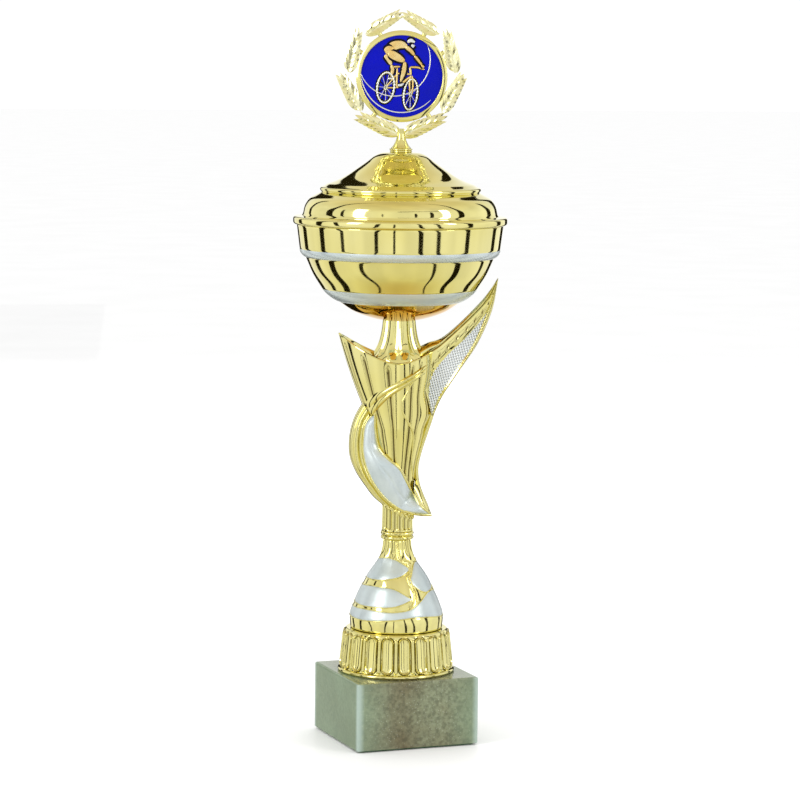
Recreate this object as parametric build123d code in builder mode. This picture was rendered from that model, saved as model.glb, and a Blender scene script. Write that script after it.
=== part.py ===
"""Cup trophy: marble base, two-tone foot, winged torch figure, lidded bowl and a wreath holder.

Millimetres, +Z up.  The origin is the centre of the felt under the base, and the sides of the
base lie along X and Y, with its front on -Y.  Everything is stacked on one tie rod, so each
piece starts at the height where the one below it ends.
"""
from build123d import *
import math
import os

os.makedirs("parts", exist_ok=True)

# ---------------------------------------------------------------- driving dimensions (mm)
felt_margin = 2.5
felt_thickness = 1.0

base_side = 75.0
base_height = 39.0
base_edge_radius = 1.2
base_border = 3.5
counterbore_clearance = 3.0
counterbore_spare = 4.9

rod_radius = 3.0
rod_clearance = 0.3
rod_overhang = 1.5
rod_chamfer = 0.5
thread_gap = 0.05

nut_flats = 10.0
nut_height = 5.0
washer_radius = 9.0
washer_thickness = 1.6

drum_height = 25.5
drum_taper = 2.3
drum_flange_reach = 1.0
drum_flange_height = 2.4
drum_wall = 2.2
drum_shoulder = 1.6
flute_count = 20
flute_share = 0.8
flute_border = 1.5
flute_depth = 0.7

bell_height = 52.5
bell_step = 3.8
bell_swell = 0.4
bell_neck_radius = 8.3
bell_wall = 2.0
panel_skin = 0.5

collar_height = 5.0
collar_overhang = 0.4
spigot_depth = 3.0
spigot_clearance = 0.1

figure_turn = 21.0
figure_height = 103.0
stem_radius = 9.3
stem_wall = 2.6
core_wall = 2.4
core_top_radius = 20.0
wing_thickness = 8.0
leaf_thickness = 13.0
horn_thickness = 16.0
wing_panel_thickness = 1.6
wing_panel_proud = 0.4
leaf_panel_proud = 7.5
torch_rim = 0.5
seat_clearance = 0.3

spool_height = 20.6
spool_foot_radius = 16.1
spool_top_radius = 9.5

bowl_height = 55.7
bowl_rim_radius = 60.0
bowl_foot_step = 0.4
bowl_wall = 0.8
band_bulge = 0.9
bowl_washer_margin = 0.9

lid_overhang = 2.2
lid_flange_height = 4.7
lid_edge_radius = 1.6
lid_step_reach = 1.8
lid_step_height = 1.2
lid_bead_reach = 1.6
lid_height = 41.8
lid_wall = 0.8
lid_rim_depth = 6.0
lid_rim_clearance = 0.4

screw_radius = 2.0
screw_head_radius = 4.0
screw_head_height = 2.6
screw_head_fillet = 1.0
screw_reach = 7.0
screw_spare = 0.5
screw_clearance = 0.4
small_washer_radius = 6.5
small_washer_thickness = 1.2
lid_crown_border = 1.0

holder_foot_height = 9.5
holder_foot_radius = 6.8
holder_foot_edge = 1.4
holder_neck_rise = 2.0
holder_neck_radius = 2.8
emblem_radius = 25.0
emblem_thickness = 1.0
emblem_gap = 0.1
bezel_wall = 1.4
bezel_lip = 1.5
bezel_depth = 5.0
wreath_thickness = 3.6
tie_length = 5.0
tie_width = 3.0
tie_reach = 0.5
back_cover_thickness = 2.0
relief_height = 0.7

# Sizes that the freehand outlines below are drawn for.  The outlines grow with the real sizes.
drawn_figure_height = 103.0
drawn_core_radius = 20.0
drawn_bowl_radius = 60.0
drawn_emblem_radius = 25.0
drawn_wreath_reach = 33.0

# ---------------------------------------------------------------- heights of the stack (mm)
base_z = felt_thickness
drum_z = base_z + base_height
bell_z = drum_z + drum_height
collar_z = bell_z + bell_height
figure_z = collar_z + collar_height
spool_z = figure_z + figure_height
bowl_z = spool_z + spool_height
lid_z = bowl_z + bowl_height
lid_top_z = lid_z + lid_height
holder_z = lid_top_z + small_washer_thickness
emblem_growth = emblem_radius / drawn_emblem_radius
emblem_z = holder_z + holder_foot_height + drawn_wreath_reach * emblem_growth

# ---------------------------------------------------------------- sizes that follow from fits (mm)
felt_side = base_side - 2 * felt_margin
counterbore_radius = washer_radius + counterbore_clearance
counterbore_depth = washer_thickness + nut_height + rod_overhang + counterbore_spare
drum_flange_radius = base_side / 2 - base_border
drum_bottom_radius = drum_flange_radius - drum_flange_reach
drum_top_radius = drum_bottom_radius - drum_taper
bell_foot_radius = drum_top_radius - bell_step
bell_belly_radius = bell_foot_radius + bell_swell
collar_radius = stem_radius + collar_overhang
leaf_panel_front = leaf_thickness / 2 + leaf_panel_proud * core_top_radius / drawn_core_radius
bowl_foot_radius = spool_top_radius + bowl_foot_step
bowl_washer_radius = bowl_foot_radius - bowl_washer_margin
lid_flange_radius = bowl_rim_radius + lid_overhang
bezel_radius = emblem_radius + bezel_wall

rod_hole = rod_radius + rod_clearance
washer_z = base_z + counterbore_depth - washer_thickness
base_nut_z = washer_z - nut_height
bowl_floor_z = bowl_z + bowl_wall
bowl_nut_z = bowl_floor_z + washer_thickness

turn = math.radians(figure_turn)
right = (math.cos(turn), -math.sin(turn), 0)
forward = (-math.sin(turn), -math.cos(turn), 0)


def facing_plane(height, ahead=0.0):
    """Upright plane that the figure and the wreath face: local x to the right, local y up."""
    return Plane(
        origin=(forward[0] * ahead, forward[1] * ahead, height),
        x_dir=right,
        z_dir=forward,
    )


def inset(points, wall):
    """The same open outline moved inwards by a wall, square to the line through its neighbours."""
    moved = []
    for i, (r, z) in enumerate(points):
        before = points[max(i - 1, 0)]
        after = points[min(i + 1, len(points) - 1)]
        along = (after[0] - before[0], after[1] - before[1])
        length = math.hypot(*along)
        moved.append((r - along[1] / length * wall, z + along[0] / length * wall))
    return moved


def lift(points, height):
    """The same outline raised to a height."""
    return [(x, z + height) for x, z in points]


def grown(points, drawn_width, width):
    """A freehand outline of the figure, grown sideways with a width and upwards with the figure."""
    sideways = width / drawn_width
    upwards = figure_height / drawn_figure_height
    return [(x * sideways, z * upwards) for x, z in points]


def finish(piece, name):
    """Name a finished piece and write its file."""
    piece.part.label = name
    export_step(piece.part, f"parts/{name}.step")


# ---------------------------------------------------------------- base and its fastening
with BuildPart() as felt_pad:
    with BuildSketch():
        Rectangle(felt_side, felt_side)
    extrude(amount=felt_thickness)
finish(felt_pad, "felt_pad")

with BuildPart() as marble_base:
    with BuildSketch(Plane.XY.offset(base_z)):
        Rectangle(base_side, base_side)
    extrude(amount=base_height)
    fillet(marble_base.edges().filter_by(Axis.Z), radius=base_edge_radius)
    fillet(marble_base.faces().sort_by(Axis.Z)[-1].edges(), radius=base_edge_radius)
    with BuildSketch(Plane.XY.offset(base_z)):
        Circle(counterbore_radius)
    extrude(amount=counterbore_depth, mode=Mode.SUBTRACT)
    with BuildSketch(Plane.XY.offset(base_z)):
        Circle(rod_hole)
    extrude(amount=base_height, mode=Mode.SUBTRACT)
finish(marble_base, "marble_base")


def ring_piece(name, height, thickness, outer, inner):
    """A flat washer: a round disc with a round hole, standing on a height."""
    with BuildPart() as ring:
        with BuildSketch(Plane.XY.offset(height)):
            Circle(outer)
            Circle(inner, mode=Mode.SUBTRACT)
        extrude(amount=thickness)
    finish(ring, name)


def nut_piece(name, height):
    """A hexagon nut on the tie rod."""
    with BuildPart() as nut:
        with BuildSketch(Plane.XY.offset(height)):
            RegularPolygon(nut_flats / 2, 6, major_radius=False)
            Circle(rod_radius + thread_gap, mode=Mode.SUBTRACT)
        extrude(amount=nut_height)
    finish(nut, name)


ring_piece("base_washer", washer_z, washer_thickness, washer_radius, rod_hole)
ring_piece("bowl_washer", bowl_floor_z, washer_thickness, bowl_washer_radius, rod_hole)
nut_piece("base_nut", base_nut_z)
nut_piece("bowl_nut", bowl_nut_z)

rod_bottom = base_nut_z - rod_overhang
rod_top = bowl_nut_z + nut_height + rod_overhang
with BuildPart() as tie_rod:
    with BuildSketch(Plane.XY.offset(rod_bottom)):
        Circle(rod_radius)
    extrude(amount=rod_top - rod_bottom)
    chamfer(tie_rod.edges().filter_by(GeomType.CIRCLE), length=rod_chamfer)
finish(tie_rod, "tie_rod")

# ---------------------------------------------------------------- fluted drum
flute_foot_z = drum_z + drum_flange_height
flute_run = drum_height - drum_flange_height - drum_shoulder
drum_slope = math.degrees(math.atan2(drum_bottom_radius - drum_top_radius, flute_run))
flute_radius = math.pi * drum_top_radius / flute_count * flute_share

with BuildPart() as foot_drum:
    with BuildSketch(Plane.XZ):
        with BuildLine():
            Polyline(
                (rod_hole, bell_z),
                (drum_top_radius - drum_shoulder, bell_z),
                (drum_top_radius, bell_z - drum_shoulder),
                (drum_bottom_radius, flute_foot_z),
                (drum_flange_radius, flute_foot_z),
                (drum_flange_radius, drum_z),
                (drum_bottom_radius - drum_wall, drum_z),
                (drum_top_radius - drum_wall, bell_z - drum_shoulder - drum_wall),
                (rod_hole, bell_z - drum_shoulder - drum_wall),
                close=True,
            )
        make_face()
    revolve(axis=Axis.Z)
    groove_radius = (drum_bottom_radius + drum_top_radius) / 2 + flute_radius - flute_depth
    with Locations((0, 0, flute_foot_z + flute_run / 2)):
        with PolarLocations(groove_radius, flute_count):
            Cylinder(
                radius=flute_radius,
                height=flute_run - 2 * flute_border,
                rotation=(0, -drum_slope, 0),
                mode=Mode.SUBTRACT,
            )
finish(foot_drum, "foot_drum")

# ---------------------------------------------------------------- bell and its silver panels
bell_spread = bell_belly_radius - bell_neck_radius
bell_outline = lift(
    [
        (bell_foot_radius, 0),
        (bell_belly_radius, bell_height * 0.13),
        (bell_neck_radius + bell_spread * 0.871, bell_height * 0.28),
        (bell_neck_radius + bell_spread * 0.512, bell_height * 0.56),
        (bell_neck_radius + bell_spread * 0.116, bell_height * 0.79),
        (bell_neck_radius, bell_height),
    ],
    bell_z,
)
bell_bore = inset(bell_outline, bell_wall)
bell_bore[0] = (bell_foot_radius - bell_wall, bell_z)
bell_bore[-1] = (bell_neck_radius - bell_wall, collar_z)


def turned_wall(outside, inside):
    """Sketch lines of a turned wall: two smooth curves joined by straight lines at their ends."""
    Spline(*outside)
    Line(outside[-1], inside[-1])
    Spline(*reversed(inside))
    Line(inside[0], outside[0])


with BuildPart() as foot_bell:
    with BuildSketch(Plane.XZ):
        with BuildLine():
            turned_wall(bell_outline, bell_bore)
        make_face()
    revolve(axis=Axis.Z)
finish(foot_bell, "foot_bell")

panel_low = bell_z + bell_height * 0.15
panel_high = bell_z + bell_height * 0.72
panel_far = 2 * bell_belly_radius
panel_spans = [(-150, 70), (10, 70), (-70, 60)]
panel_outline = inset(bell_outline, -panel_skin)
panel_outline[0] = (bell_foot_radius + panel_skin, bell_z)
panel_outline[-1] = (bell_neck_radius + panel_skin, collar_z)

with BuildPart() as bell_panels:
    with BuildSketch(Plane.XZ):
        with BuildLine():
            turned_wall(panel_outline, bell_outline)
        make_face()
    revolve(axis=Axis.Z)
    with BuildSketch(Plane.XY.offset(panel_low)):
        for start, width in panel_spans:
            wedge = []
            for angle in (start, start + width / 2, start + width):
                bearing = math.radians(angle)
                wedge.append((math.cos(bearing) * panel_far, math.sin(bearing) * panel_far))
            with BuildLine():
                Polyline((0, 0), *wedge, close=True)
            make_face()
    extrude(amount=panel_high - panel_low, mode=Mode.INTERSECT)
finish(bell_panels, "bell_panels")

# ---------------------------------------------------------------- collar and neck spool
with BuildPart() as stem_collar:
    bead = collar_height / 2
    with BuildSketch(Plane.XZ):
        with BuildLine():
            Polyline(
                (collar_radius - bead / 2, figure_z),
                (stem_radius - stem_wall - spigot_clearance, figure_z),
                (stem_radius - stem_wall - spigot_clearance, figure_z + spigot_depth),
                (rod_hole, figure_z + spigot_depth),
                (rod_hole, collar_z - spigot_depth),
                (bell_neck_radius - bell_wall - spigot_clearance, collar_z - spigot_depth),
                (bell_neck_radius - bell_wall - spigot_clearance, collar_z),
                (collar_radius - bead / 2, collar_z),
            )
            ThreePointArc(
                (collar_radius - bead / 2, collar_z),
                (collar_radius, collar_z + bead / 2),
                (collar_radius - bead / 2, collar_z + bead),
            )
            ThreePointArc(
                (collar_radius - bead / 2, collar_z + bead),
                (collar_radius, collar_z + 1.5 * bead),
                (collar_radius - bead / 2, figure_z),
            )
        make_face()
    revolve(axis=Axis.Z)
finish(stem_collar, "stem_collar")

with BuildPart() as neck_spool:
    with BuildSketch(Plane.XZ):
        with BuildLine():
            Spline(
                (spool_foot_radius, spool_z),
                (spool_foot_radius * 0.76, spool_z + spool_height * 0.35),
                (spool_top_radius * 1.04, spool_z + spool_height * 0.83),
                (spool_top_radius, bowl_z),
            )
            Polyline(
                (spool_top_radius, bowl_z),
                (rod_hole, bowl_z),
                (rod_hole, spool_z),
                (spool_foot_radius, spool_z),
            )
        make_face()
    revolve(axis=Axis.Z)
finish(neck_spool, "neck_spool")

# ---------------------------------------------------------------- torch figure
core_outline = lift(
    [
        (stem_radius, 0),
        (stem_radius, figure_height * 0.18),
        (stem_radius * 1.08, figure_height * 0.28),
        (core_top_radius * 0.63, figure_height * 0.44),
        (core_top_radius * 0.82, figure_height * 0.69),
        (core_top_radius, figure_height * 0.945),
    ],
    figure_z,
)
core_bore = inset(core_outline, core_wall)
core_bore[0] = (stem_radius - stem_wall, figure_z)
core_bore[1] = (stem_radius - stem_wall, core_outline[1][1])
core_bore[-1] = (core_top_radius - core_wall, figure_z + figure_height * 0.92)

pocket_floor = wing_thickness / 2 - wing_panel_thickness + wing_panel_proud

# Outlines of the flat parts, from the figure's foot: to the right, and up.
wing_top = [(6, 105.5), (31, 119), (57.2, 149)]
wing_edge = [(57.2, 149), (47.7, 113.6), (28.2, 84.4), (9, 53)]
wing_panel_top = [(51, 129.4), (28, 104.2), (17.1, 80.7), (19.6, 68.5)]
wing_panel_edge = [(19.6, 68.5), (35.3, 96.5), (51, 129.4)]
horn_top = [(-35.2, 115), (-17, 104.5), (-4, 101)]
horn_edge = [(-35.2, 115), (-28.5, 93.5), (-20, 72)]
leaf_edge = [(-20, 75), (-28.9, 48.8), (-16.5, 22), (4, 11), (19.7, 9.9)]
leaf_top = [(19.7, 9.9), (9.2, 23), (-4, 44), (-12.5, 70)]
leaf_panel_edge = [(-13.7, 68.8), (-20.2, 48), (-11.6, 25.9), (4, 12.6), (17, 10.8)]
leaf_panel_top = [(17, 10.8), (6.5, 27), (-8, 45.5), (-13.7, 68.8)]

# The wing reaches out beside the bowl, so it grows with the bowl.  The rest grows with the torch.
wing_top = grown(wing_top, drawn_bowl_radius, bowl_rim_radius)
wing_edge = grown(wing_edge, drawn_bowl_radius, bowl_rim_radius)
wing_panel_top = grown(wing_panel_top, drawn_bowl_radius, bowl_rim_radius)
wing_panel_edge = grown(wing_panel_edge, drawn_bowl_radius, bowl_rim_radius)
horn_top = grown(horn_top, drawn_core_radius, core_top_radius)
horn_edge = grown(horn_edge, drawn_core_radius, core_top_radius)
leaf_edge = grown(leaf_edge, drawn_core_radius, core_top_radius)
leaf_top = grown(leaf_top, drawn_core_radius, core_top_radius)
leaf_panel_edge = grown(leaf_panel_edge, drawn_core_radius, core_top_radius)
leaf_panel_top = grown(leaf_panel_top, drawn_core_radius, core_top_radius)


with BuildPart() as torch_figure:
    with BuildSketch(Plane.XZ):
        with BuildLine():
            Spline(*core_outline)
            Polyline(
                core_outline[-1],
                (spool_foot_radius + torch_rim, spool_z),
                (0, spool_z),
                (0, figure_z),
                core_outline[0],
            )
        make_face()
    revolve(axis=Axis.Z)
    with BuildSketch(facing_plane(figure_z)):
        with BuildLine():
            Spline(*wing_top)
            Spline(*wing_edge)
            Line(wing_edge[-1], wing_top[0])
        make_face()
    extrude(amount=wing_thickness / 2, both=True)
    with BuildSketch(facing_plane(figure_z)):
        with BuildLine():
            Spline(*horn_top)
            Spline(*horn_edge)
            Line(horn_edge[-1], horn_top[-1])
        make_face()
    extrude(amount=horn_thickness / 2, both=True)
    with BuildSketch(facing_plane(figure_z)):
        with BuildLine():
            Spline(*leaf_edge)
            Spline(*leaf_top)
            Line(leaf_top[-1], leaf_edge[0])
        make_face()
    extrude(amount=leaf_thickness / 2, both=True)
    with BuildSketch(Plane.XZ):
        with BuildLine():
            Spline(*core_bore[1:])
            Polyline(
                core_bore[-1],
                (0, core_bore[-1][1]),
                (0, figure_z),
                core_bore[0],
                core_bore[1],
            )
        make_face()
    revolve(axis=Axis.Z, mode=Mode.SUBTRACT)
    with BuildSketch(Plane.XY.offset(figure_z)):
        Circle(rod_hole)
    extrude(amount=figure_height, mode=Mode.SUBTRACT)
    with BuildSketch(Plane.XY.offset(spool_z)):
        Circle(spool_foot_radius + seat_clearance)
    extrude(amount=spool_height, mode=Mode.SUBTRACT)
    for side in (1, -1):
        with BuildSketch(facing_plane(figure_z, side * pocket_floor)):
            with BuildLine():
                Spline(*wing_panel_top)
                Spline(*wing_panel_edge)
            make_face()
        extrude(amount=side * wing_panel_thickness, mode=Mode.SUBTRACT)
finish(torch_figure, "torch_figure")

with BuildPart() as wing_panels:
    for side in (1, -1):
        with BuildSketch(facing_plane(figure_z, side * pocket_floor)):
            with BuildLine():
                Spline(*wing_panel_top)
                Spline(*wing_panel_edge)
            make_face()
        extrude(amount=side * wing_panel_thickness)
finish(wing_panels, "wing_panels")

with BuildPart() as leaf_panels:
    for side in (1, -1):
        with BuildSketch(facing_plane(figure_z, side * leaf_thickness / 2)):
            with BuildLine():
                Spline(*leaf_panel_edge)
                Spline(*leaf_panel_top)
            make_face()
        extrude(amount=side * (leaf_panel_front - leaf_thickness / 2))
    with BuildSketch(Plane.XZ):
        with BuildLine():
            Spline(*core_outline)
            Polyline(core_outline[-1], (0, core_outline[-1][1]), (0, figure_z), core_outline[0])
        make_face()
    revolve(axis=Axis.Z, mode=Mode.SUBTRACT)
finish(leaf_panels, "leaf_panels")

# ---------------------------------------------------------------- bowl and its bands
dish = [
    (bowl_foot_radius, bowl_z),
    (bowl_rim_radius * 0.29, bowl_z + bowl_height * 0.032),
    (bowl_rim_radius * 0.45, bowl_z + bowl_height * 0.097),
    (bowl_rim_radius * 0.59, bowl_z + bowl_height * 0.196),
]
lower_band = [dish[-1], (bowl_rim_radius * 0.752, bowl_z + bowl_height * 0.329)]
middle = [
    lower_band[-1],
    (bowl_rim_radius * 0.838, bowl_z + bowl_height * 0.478),
    (bowl_rim_radius * 0.913, bowl_z + bowl_height * 0.659),
]
upper_band = [middle[-1], (bowl_rim_radius * 0.972, bowl_z + bowl_height * 0.745)]
rim = (bowl_rim_radius, lid_z)

dish_in = inset(dish, bowl_wall)
dish_in[0] = (bowl_foot_radius, bowl_floor_z)
middle_in = inset(middle, bowl_wall)
rim_in = (bowl_rim_radius - bowl_wall, lid_z)
shoulder_in = (upper_band[-1][0] - bowl_wall, upper_band[-1][1])

with BuildPart() as bowl:
    with BuildSketch(Plane.XZ):
        with BuildLine():
            Line((rod_hole, bowl_z), dish[0])
            Spline(*dish)
            Line(*lower_band)
            Spline(*middle)
            Line(*upper_band)
            Polyline(upper_band[-1], rim, rim_in, shoulder_in, middle_in[-1])
            Spline(*reversed(middle_in))
            Line(middle_in[0], dish_in[-1])
            Spline(*reversed(dish_in))
            Polyline(dish_in[0], (rod_hole, bowl_floor_z), (rod_hole, bowl_z))
        make_face()
    revolve(axis=Axis.Z)
finish(bowl, "bowl")


def band_piece(name, low, high):
    """A silver band: a ring that fits one sloping stretch of the bowl and bulges outwards."""
    run = (high[0] - low[0], high[1] - low[1])
    length = math.hypot(*run)
    crown = (
        (low[0] + high[0]) / 2 + run[1] / length * band_bulge,
        (low[1] + high[1]) / 2 - run[0] / length * band_bulge,
    )
    with BuildPart() as band:
        with BuildSketch(Plane.XZ):
            with BuildLine():
                ThreePointArc(low, crown, high)
                Line(high, low)
            make_face()
        revolve(axis=Axis.Z)
    finish(band, name)


band_piece("lower_band", *lower_band)
band_piece("upper_band", *upper_band)

# ---------------------------------------------------------------- lid
flange_top_z = lid_z + lid_flange_height
wall_flare = (rim_in[0] - shoulder_in[0]) / (rim_in[1] - shoulder_in[1])
rim_outer = rim_in[0] - lid_rim_depth * wall_flare - lid_rim_clearance
shoulder = [
    (rim_outer - lid_step_reach, flange_top_z + lid_step_height),
    (rim_outer * 0.945, lid_z + lid_height * 0.29),
    (rim_outer * 0.845, lid_z + lid_height * 0.402),
]
cone = [
    (rim_outer * 0.76, lid_z + lid_height * 0.54),
    (rim_outer * 0.62, lid_z + lid_height * 0.612),
    (rim_outer * 0.42, lid_z + lid_height * 0.785),
    (rim_outer * 0.2, lid_z + lid_height * 0.985),
    (small_washer_radius + lid_crown_border, lid_top_z),
]
shoulder_bore = inset(shoulder, lid_wall)
cone_bore = inset(cone, lid_wall)
cone_bore[-1] = (cone[-1][0], lid_top_z - lid_wall)
screw_hole = screw_radius + screw_clearance

with BuildPart() as lid:
    with BuildSketch(Plane.XZ):
        with BuildLine():
            Polyline(
                (rim_outer, lid_z),
                (lid_flange_radius, lid_z),
                (lid_flange_radius, flange_top_z),
                shoulder[0],
            )
            Spline(*shoulder)
            ThreePointArc(
                shoulder[-1],
                (
                    (shoulder[-1][0] + cone[0][0]) / 2 + lid_bead_reach,
                    (shoulder[-1][1] + cone[0][1]) / 2,
                ),
                cone[0],
            )
            Spline(*cone)
            Polyline(
                cone[-1],
                (screw_hole, lid_top_z),
                (screw_hole, lid_top_z - lid_wall),
                cone_bore[-1],
            )
            Spline(*reversed(cone_bore))
            Line(cone_bore[0], shoulder_bore[-1])
            Spline(*reversed(shoulder_bore))
            Polyline(
                shoulder_bore[0],
                (rim_outer - lid_wall, flange_top_z - lid_wall),
                (rim_outer - lid_wall, lid_z - lid_rim_depth),
                (rim_outer, lid_z - lid_rim_depth),
                (rim_outer, lid_z),
            )
        make_face()
    revolve(axis=Axis.Z)
    fillet(lid.edges().filter_by(GeomType.CIRCLE).sort_by(SortBy.RADIUS)[-2:], radius=lid_edge_radius)
finish(lid, "lid")

# ---------------------------------------------------------------- wreath holder
ring_piece("top_washer", lid_top_z, small_washer_thickness, small_washer_radius, screw_hole)
inner_washer_z = lid_top_z - lid_wall - small_washer_thickness
ring_piece("lid_washer", inner_washer_z, small_washer_thickness, small_washer_radius, screw_hole)

with BuildPart() as lid_screw:
    with BuildSketch(Plane.XY.offset(inner_washer_z - screw_head_height)):
        Circle(screw_head_radius)
    extrude(amount=screw_head_height)
    fillet(lid_screw.edges().sort_by(Axis.Z)[0], radius=screw_head_fillet)
    with BuildSketch(Plane.XY.offset(inner_washer_z)):
        Circle(screw_radius)
    extrude(amount=small_washer_thickness * 2 + lid_wall + screw_reach)
finish(lid_screw, "lid_screw")

# Sprays of leaves on the left half: distance right, height, half length, half width, slope.
sprays = [
    (-10.5, 30.3, 12.6, 3.4, 31.0),
    (-28.0, 14.8, 13.2, 4.4, 73.0),
    (-29.8, -9.2, 13.0, 4.4, -60.0),
    (-13.2, -28.3, 14.8, 3.7, -23.0),
]
ties = [-125.0, -30.0, 30.0, 62.0]

with BuildPart() as wreath_holder:
    with BuildSketch(facing_plane(emblem_z)):
        for across, up, half_length, half_width, slope in sprays:
            for side in (1, -1):
                with Locations((side * across, up)):
                    Ellipse(half_length, half_width, rotation=side * slope)
        scale(by=emblem_growth)
        for angle in ties:
            for side in (1, -1):
                with Locations(Location((0, 0, 0), 90 + side * (90 - angle))):
                    with Locations((bezel_radius + tie_reach, 0)):
                        Rectangle(tie_length, tie_width)
        Circle(emblem_radius, mode=Mode.SUBTRACT)
    extrude(amount=wreath_thickness / 2, both=True)
    with BuildSketch(facing_plane(emblem_z)):
        Circle(bezel_radius)
        Circle(emblem_radius + emblem_gap, mode=Mode.SUBTRACT)
    extrude(amount=bezel_depth / 2, both=True)
    with BuildSketch(facing_plane(emblem_z, bezel_depth / 2 - emblem_thickness)):
        Circle(bezel_radius)
        Circle(emblem_radius - bezel_lip, mode=Mode.SUBTRACT)
    extrude(amount=emblem_thickness)
    with BuildSketch(Plane.XZ):
        with BuildLine():
            neck_top = holder_z + holder_foot_height + holder_neck_rise
            Polyline(
                (0, holder_z),
                (holder_foot_radius, holder_z),
                (holder_foot_radius, holder_z + holder_foot_edge),
            )
            Spline(
                (holder_foot_radius, holder_z + holder_foot_edge),
                (holder_neck_radius * 1.3, holder_z + holder_foot_height * 0.5),
                (holder_neck_radius, neck_top),
            )
            Polyline((holder_neck_radius, neck_top), (0, neck_top), (0, holder_z))
        make_face()
    revolve(axis=Axis.Z)
    with BuildSketch(Plane.XY.offset(holder_z)):
        Circle(screw_radius + thread_gap)
    extrude(amount=screw_reach + screw_spare, mode=Mode.SUBTRACT)
finish(wreath_holder, "wreath_holder")

emblem_front = bezel_depth / 2 - emblem_thickness


def disc_piece(name, front, thickness, radius):
    """An upright disc in the holder, from its front face backwards."""
    with BuildPart() as disc:
        with BuildSketch(facing_plane(emblem_z, front - thickness)):
            Circle(radius)
        extrude(amount=thickness)
    finish(disc, name)


disc_piece("emblem_disc", emblem_front, emblem_thickness, emblem_radius)
disc_piece("back_cover", emblem_front - emblem_thickness, back_cover_thickness, emblem_radius)

# Cyclist on a bicycle, in low relief: places to the right of and above the emblem's middle.
tyre = 1.1
wheels = [(-9.2, -6.5, 5.4, 9.2), (5.2, -10.4, 4.4, 9.3)]
wheel_lean = -7.0
head_place = (5.6, 18.2)
head_size = 2.3
limbs = {
    "trunk": ((-7.6, 15.6), (2.6, 16.6), 6.4),
    "near thigh": ((-7.4, 14.2), (0.9, 9.4), 6.2),
    "near shin": ((2.4, 8.2), (-0.7, -3.8), 2.8),
    "near foot": ((-1.9, -6.3), (0.7, -4.6), 1.9),
    "far thigh": ((-9.7, 13.2), (-7.2, 8.8), 4.6),
    "far shin": ((-6.2, 8.0), (-5.6, 3.2), 2.4),
    "upper arm": ((4.0, 15.6), (7.4, 12.4), 2.8),
    "forearm": ((7.4, 12.4), (12.0, 5.6), 2.2),
    "neck": ((3.0, 17.0), (5.6, 18.2), 2.0),
}
tubes = {
    "handlebar": ((4.6, 5.2), (13.4, 4.2), 1.2),
    "stem": ((4.8, 5.0), (5.3, 0.5), 1.2),
    "fork": ((5.3, 0.5), (5.9, -9.8), 1.2),
    "top tube": ((5.2, 1.2), (-3.2, 1.4), 1.1),
    "down tube": ((5.4, 0.2), (-2.9, -6.6), 1.2),
    "seat tube": ((-2.7, 5.6), (-3.0, -6.6), 1.1),
    "chain stay": ((-2.9, -6.6), (-9.2, -6.5), 1.0),
}


def bar(start, end, width):
    """A round-ended bar of the relief between the middles of its two ends."""
    run = (end[0] - start[0], end[1] - start[1])
    with Locations(((start[0] + end[0]) / 2, (start[1] + end[1]) / 2)):
        SlotCenterToCenter(
            math.hypot(*run),
            width,
            rotation=math.degrees(math.atan2(run[1], run[0])),
        )


with BuildPart() as rider_relief:
    with BuildSketch(facing_plane(emblem_z, emblem_front)):
        for across, up, wide, high in wheels:
            with Locations((across, up)):
                Ellipse(wide, high, rotation=wheel_lean)
        for across, up, wide, high in wheels:
            with Locations((across, up)):
                Ellipse(wide - tyre, high - tyre, rotation=wheel_lean, mode=Mode.SUBTRACT)
        for start, end, width in (*limbs.values(), *tubes.values()):
            bar(start, end, width)
        with Locations(head_place):
            Circle(head_size)
        scale(by=emblem_growth)
    extrude(amount=relief_height)
finish(rider_relief, "rider_relief")
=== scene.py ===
# %% [markdown]
# # A lidded cup trophy with a winged torch
#
# A marble base carries a fluted drum and a two-tone bell.  A torch figure stands on it: a horn
# flares to the left, a wing rises to the right, a sash crosses the torch and a silver leaf wraps
# its foot.  The torch holds a spun bowl with two silver bands, a loose lid and a wreath with a
# blue emblem.  Every surface here is worked out from a formula or from a few named sizes.
#
# The first cell loads the measured model.  Its pieces are the frame that all looks are built on.

import math

import bpy
import numpy as np
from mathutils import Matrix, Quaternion, Vector


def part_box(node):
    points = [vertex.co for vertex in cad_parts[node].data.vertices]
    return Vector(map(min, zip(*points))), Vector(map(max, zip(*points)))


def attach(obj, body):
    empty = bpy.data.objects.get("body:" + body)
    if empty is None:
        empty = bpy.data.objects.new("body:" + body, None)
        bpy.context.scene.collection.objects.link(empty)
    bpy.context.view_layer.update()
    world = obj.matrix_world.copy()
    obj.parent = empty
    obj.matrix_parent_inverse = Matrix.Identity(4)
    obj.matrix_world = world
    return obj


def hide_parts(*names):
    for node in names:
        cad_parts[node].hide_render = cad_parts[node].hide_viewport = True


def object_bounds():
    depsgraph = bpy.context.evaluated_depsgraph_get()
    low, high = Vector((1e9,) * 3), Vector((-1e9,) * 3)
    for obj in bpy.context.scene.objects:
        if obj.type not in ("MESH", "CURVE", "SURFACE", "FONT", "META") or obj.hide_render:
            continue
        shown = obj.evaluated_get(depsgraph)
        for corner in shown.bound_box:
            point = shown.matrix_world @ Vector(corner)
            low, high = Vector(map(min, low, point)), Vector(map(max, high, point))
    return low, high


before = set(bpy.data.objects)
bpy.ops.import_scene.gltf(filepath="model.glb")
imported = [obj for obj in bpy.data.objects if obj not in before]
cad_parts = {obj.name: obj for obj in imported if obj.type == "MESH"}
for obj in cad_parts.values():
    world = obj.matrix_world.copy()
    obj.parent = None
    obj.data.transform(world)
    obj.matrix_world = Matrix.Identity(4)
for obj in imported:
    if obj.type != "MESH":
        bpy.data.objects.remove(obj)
cad_low, cad_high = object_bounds()
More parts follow.
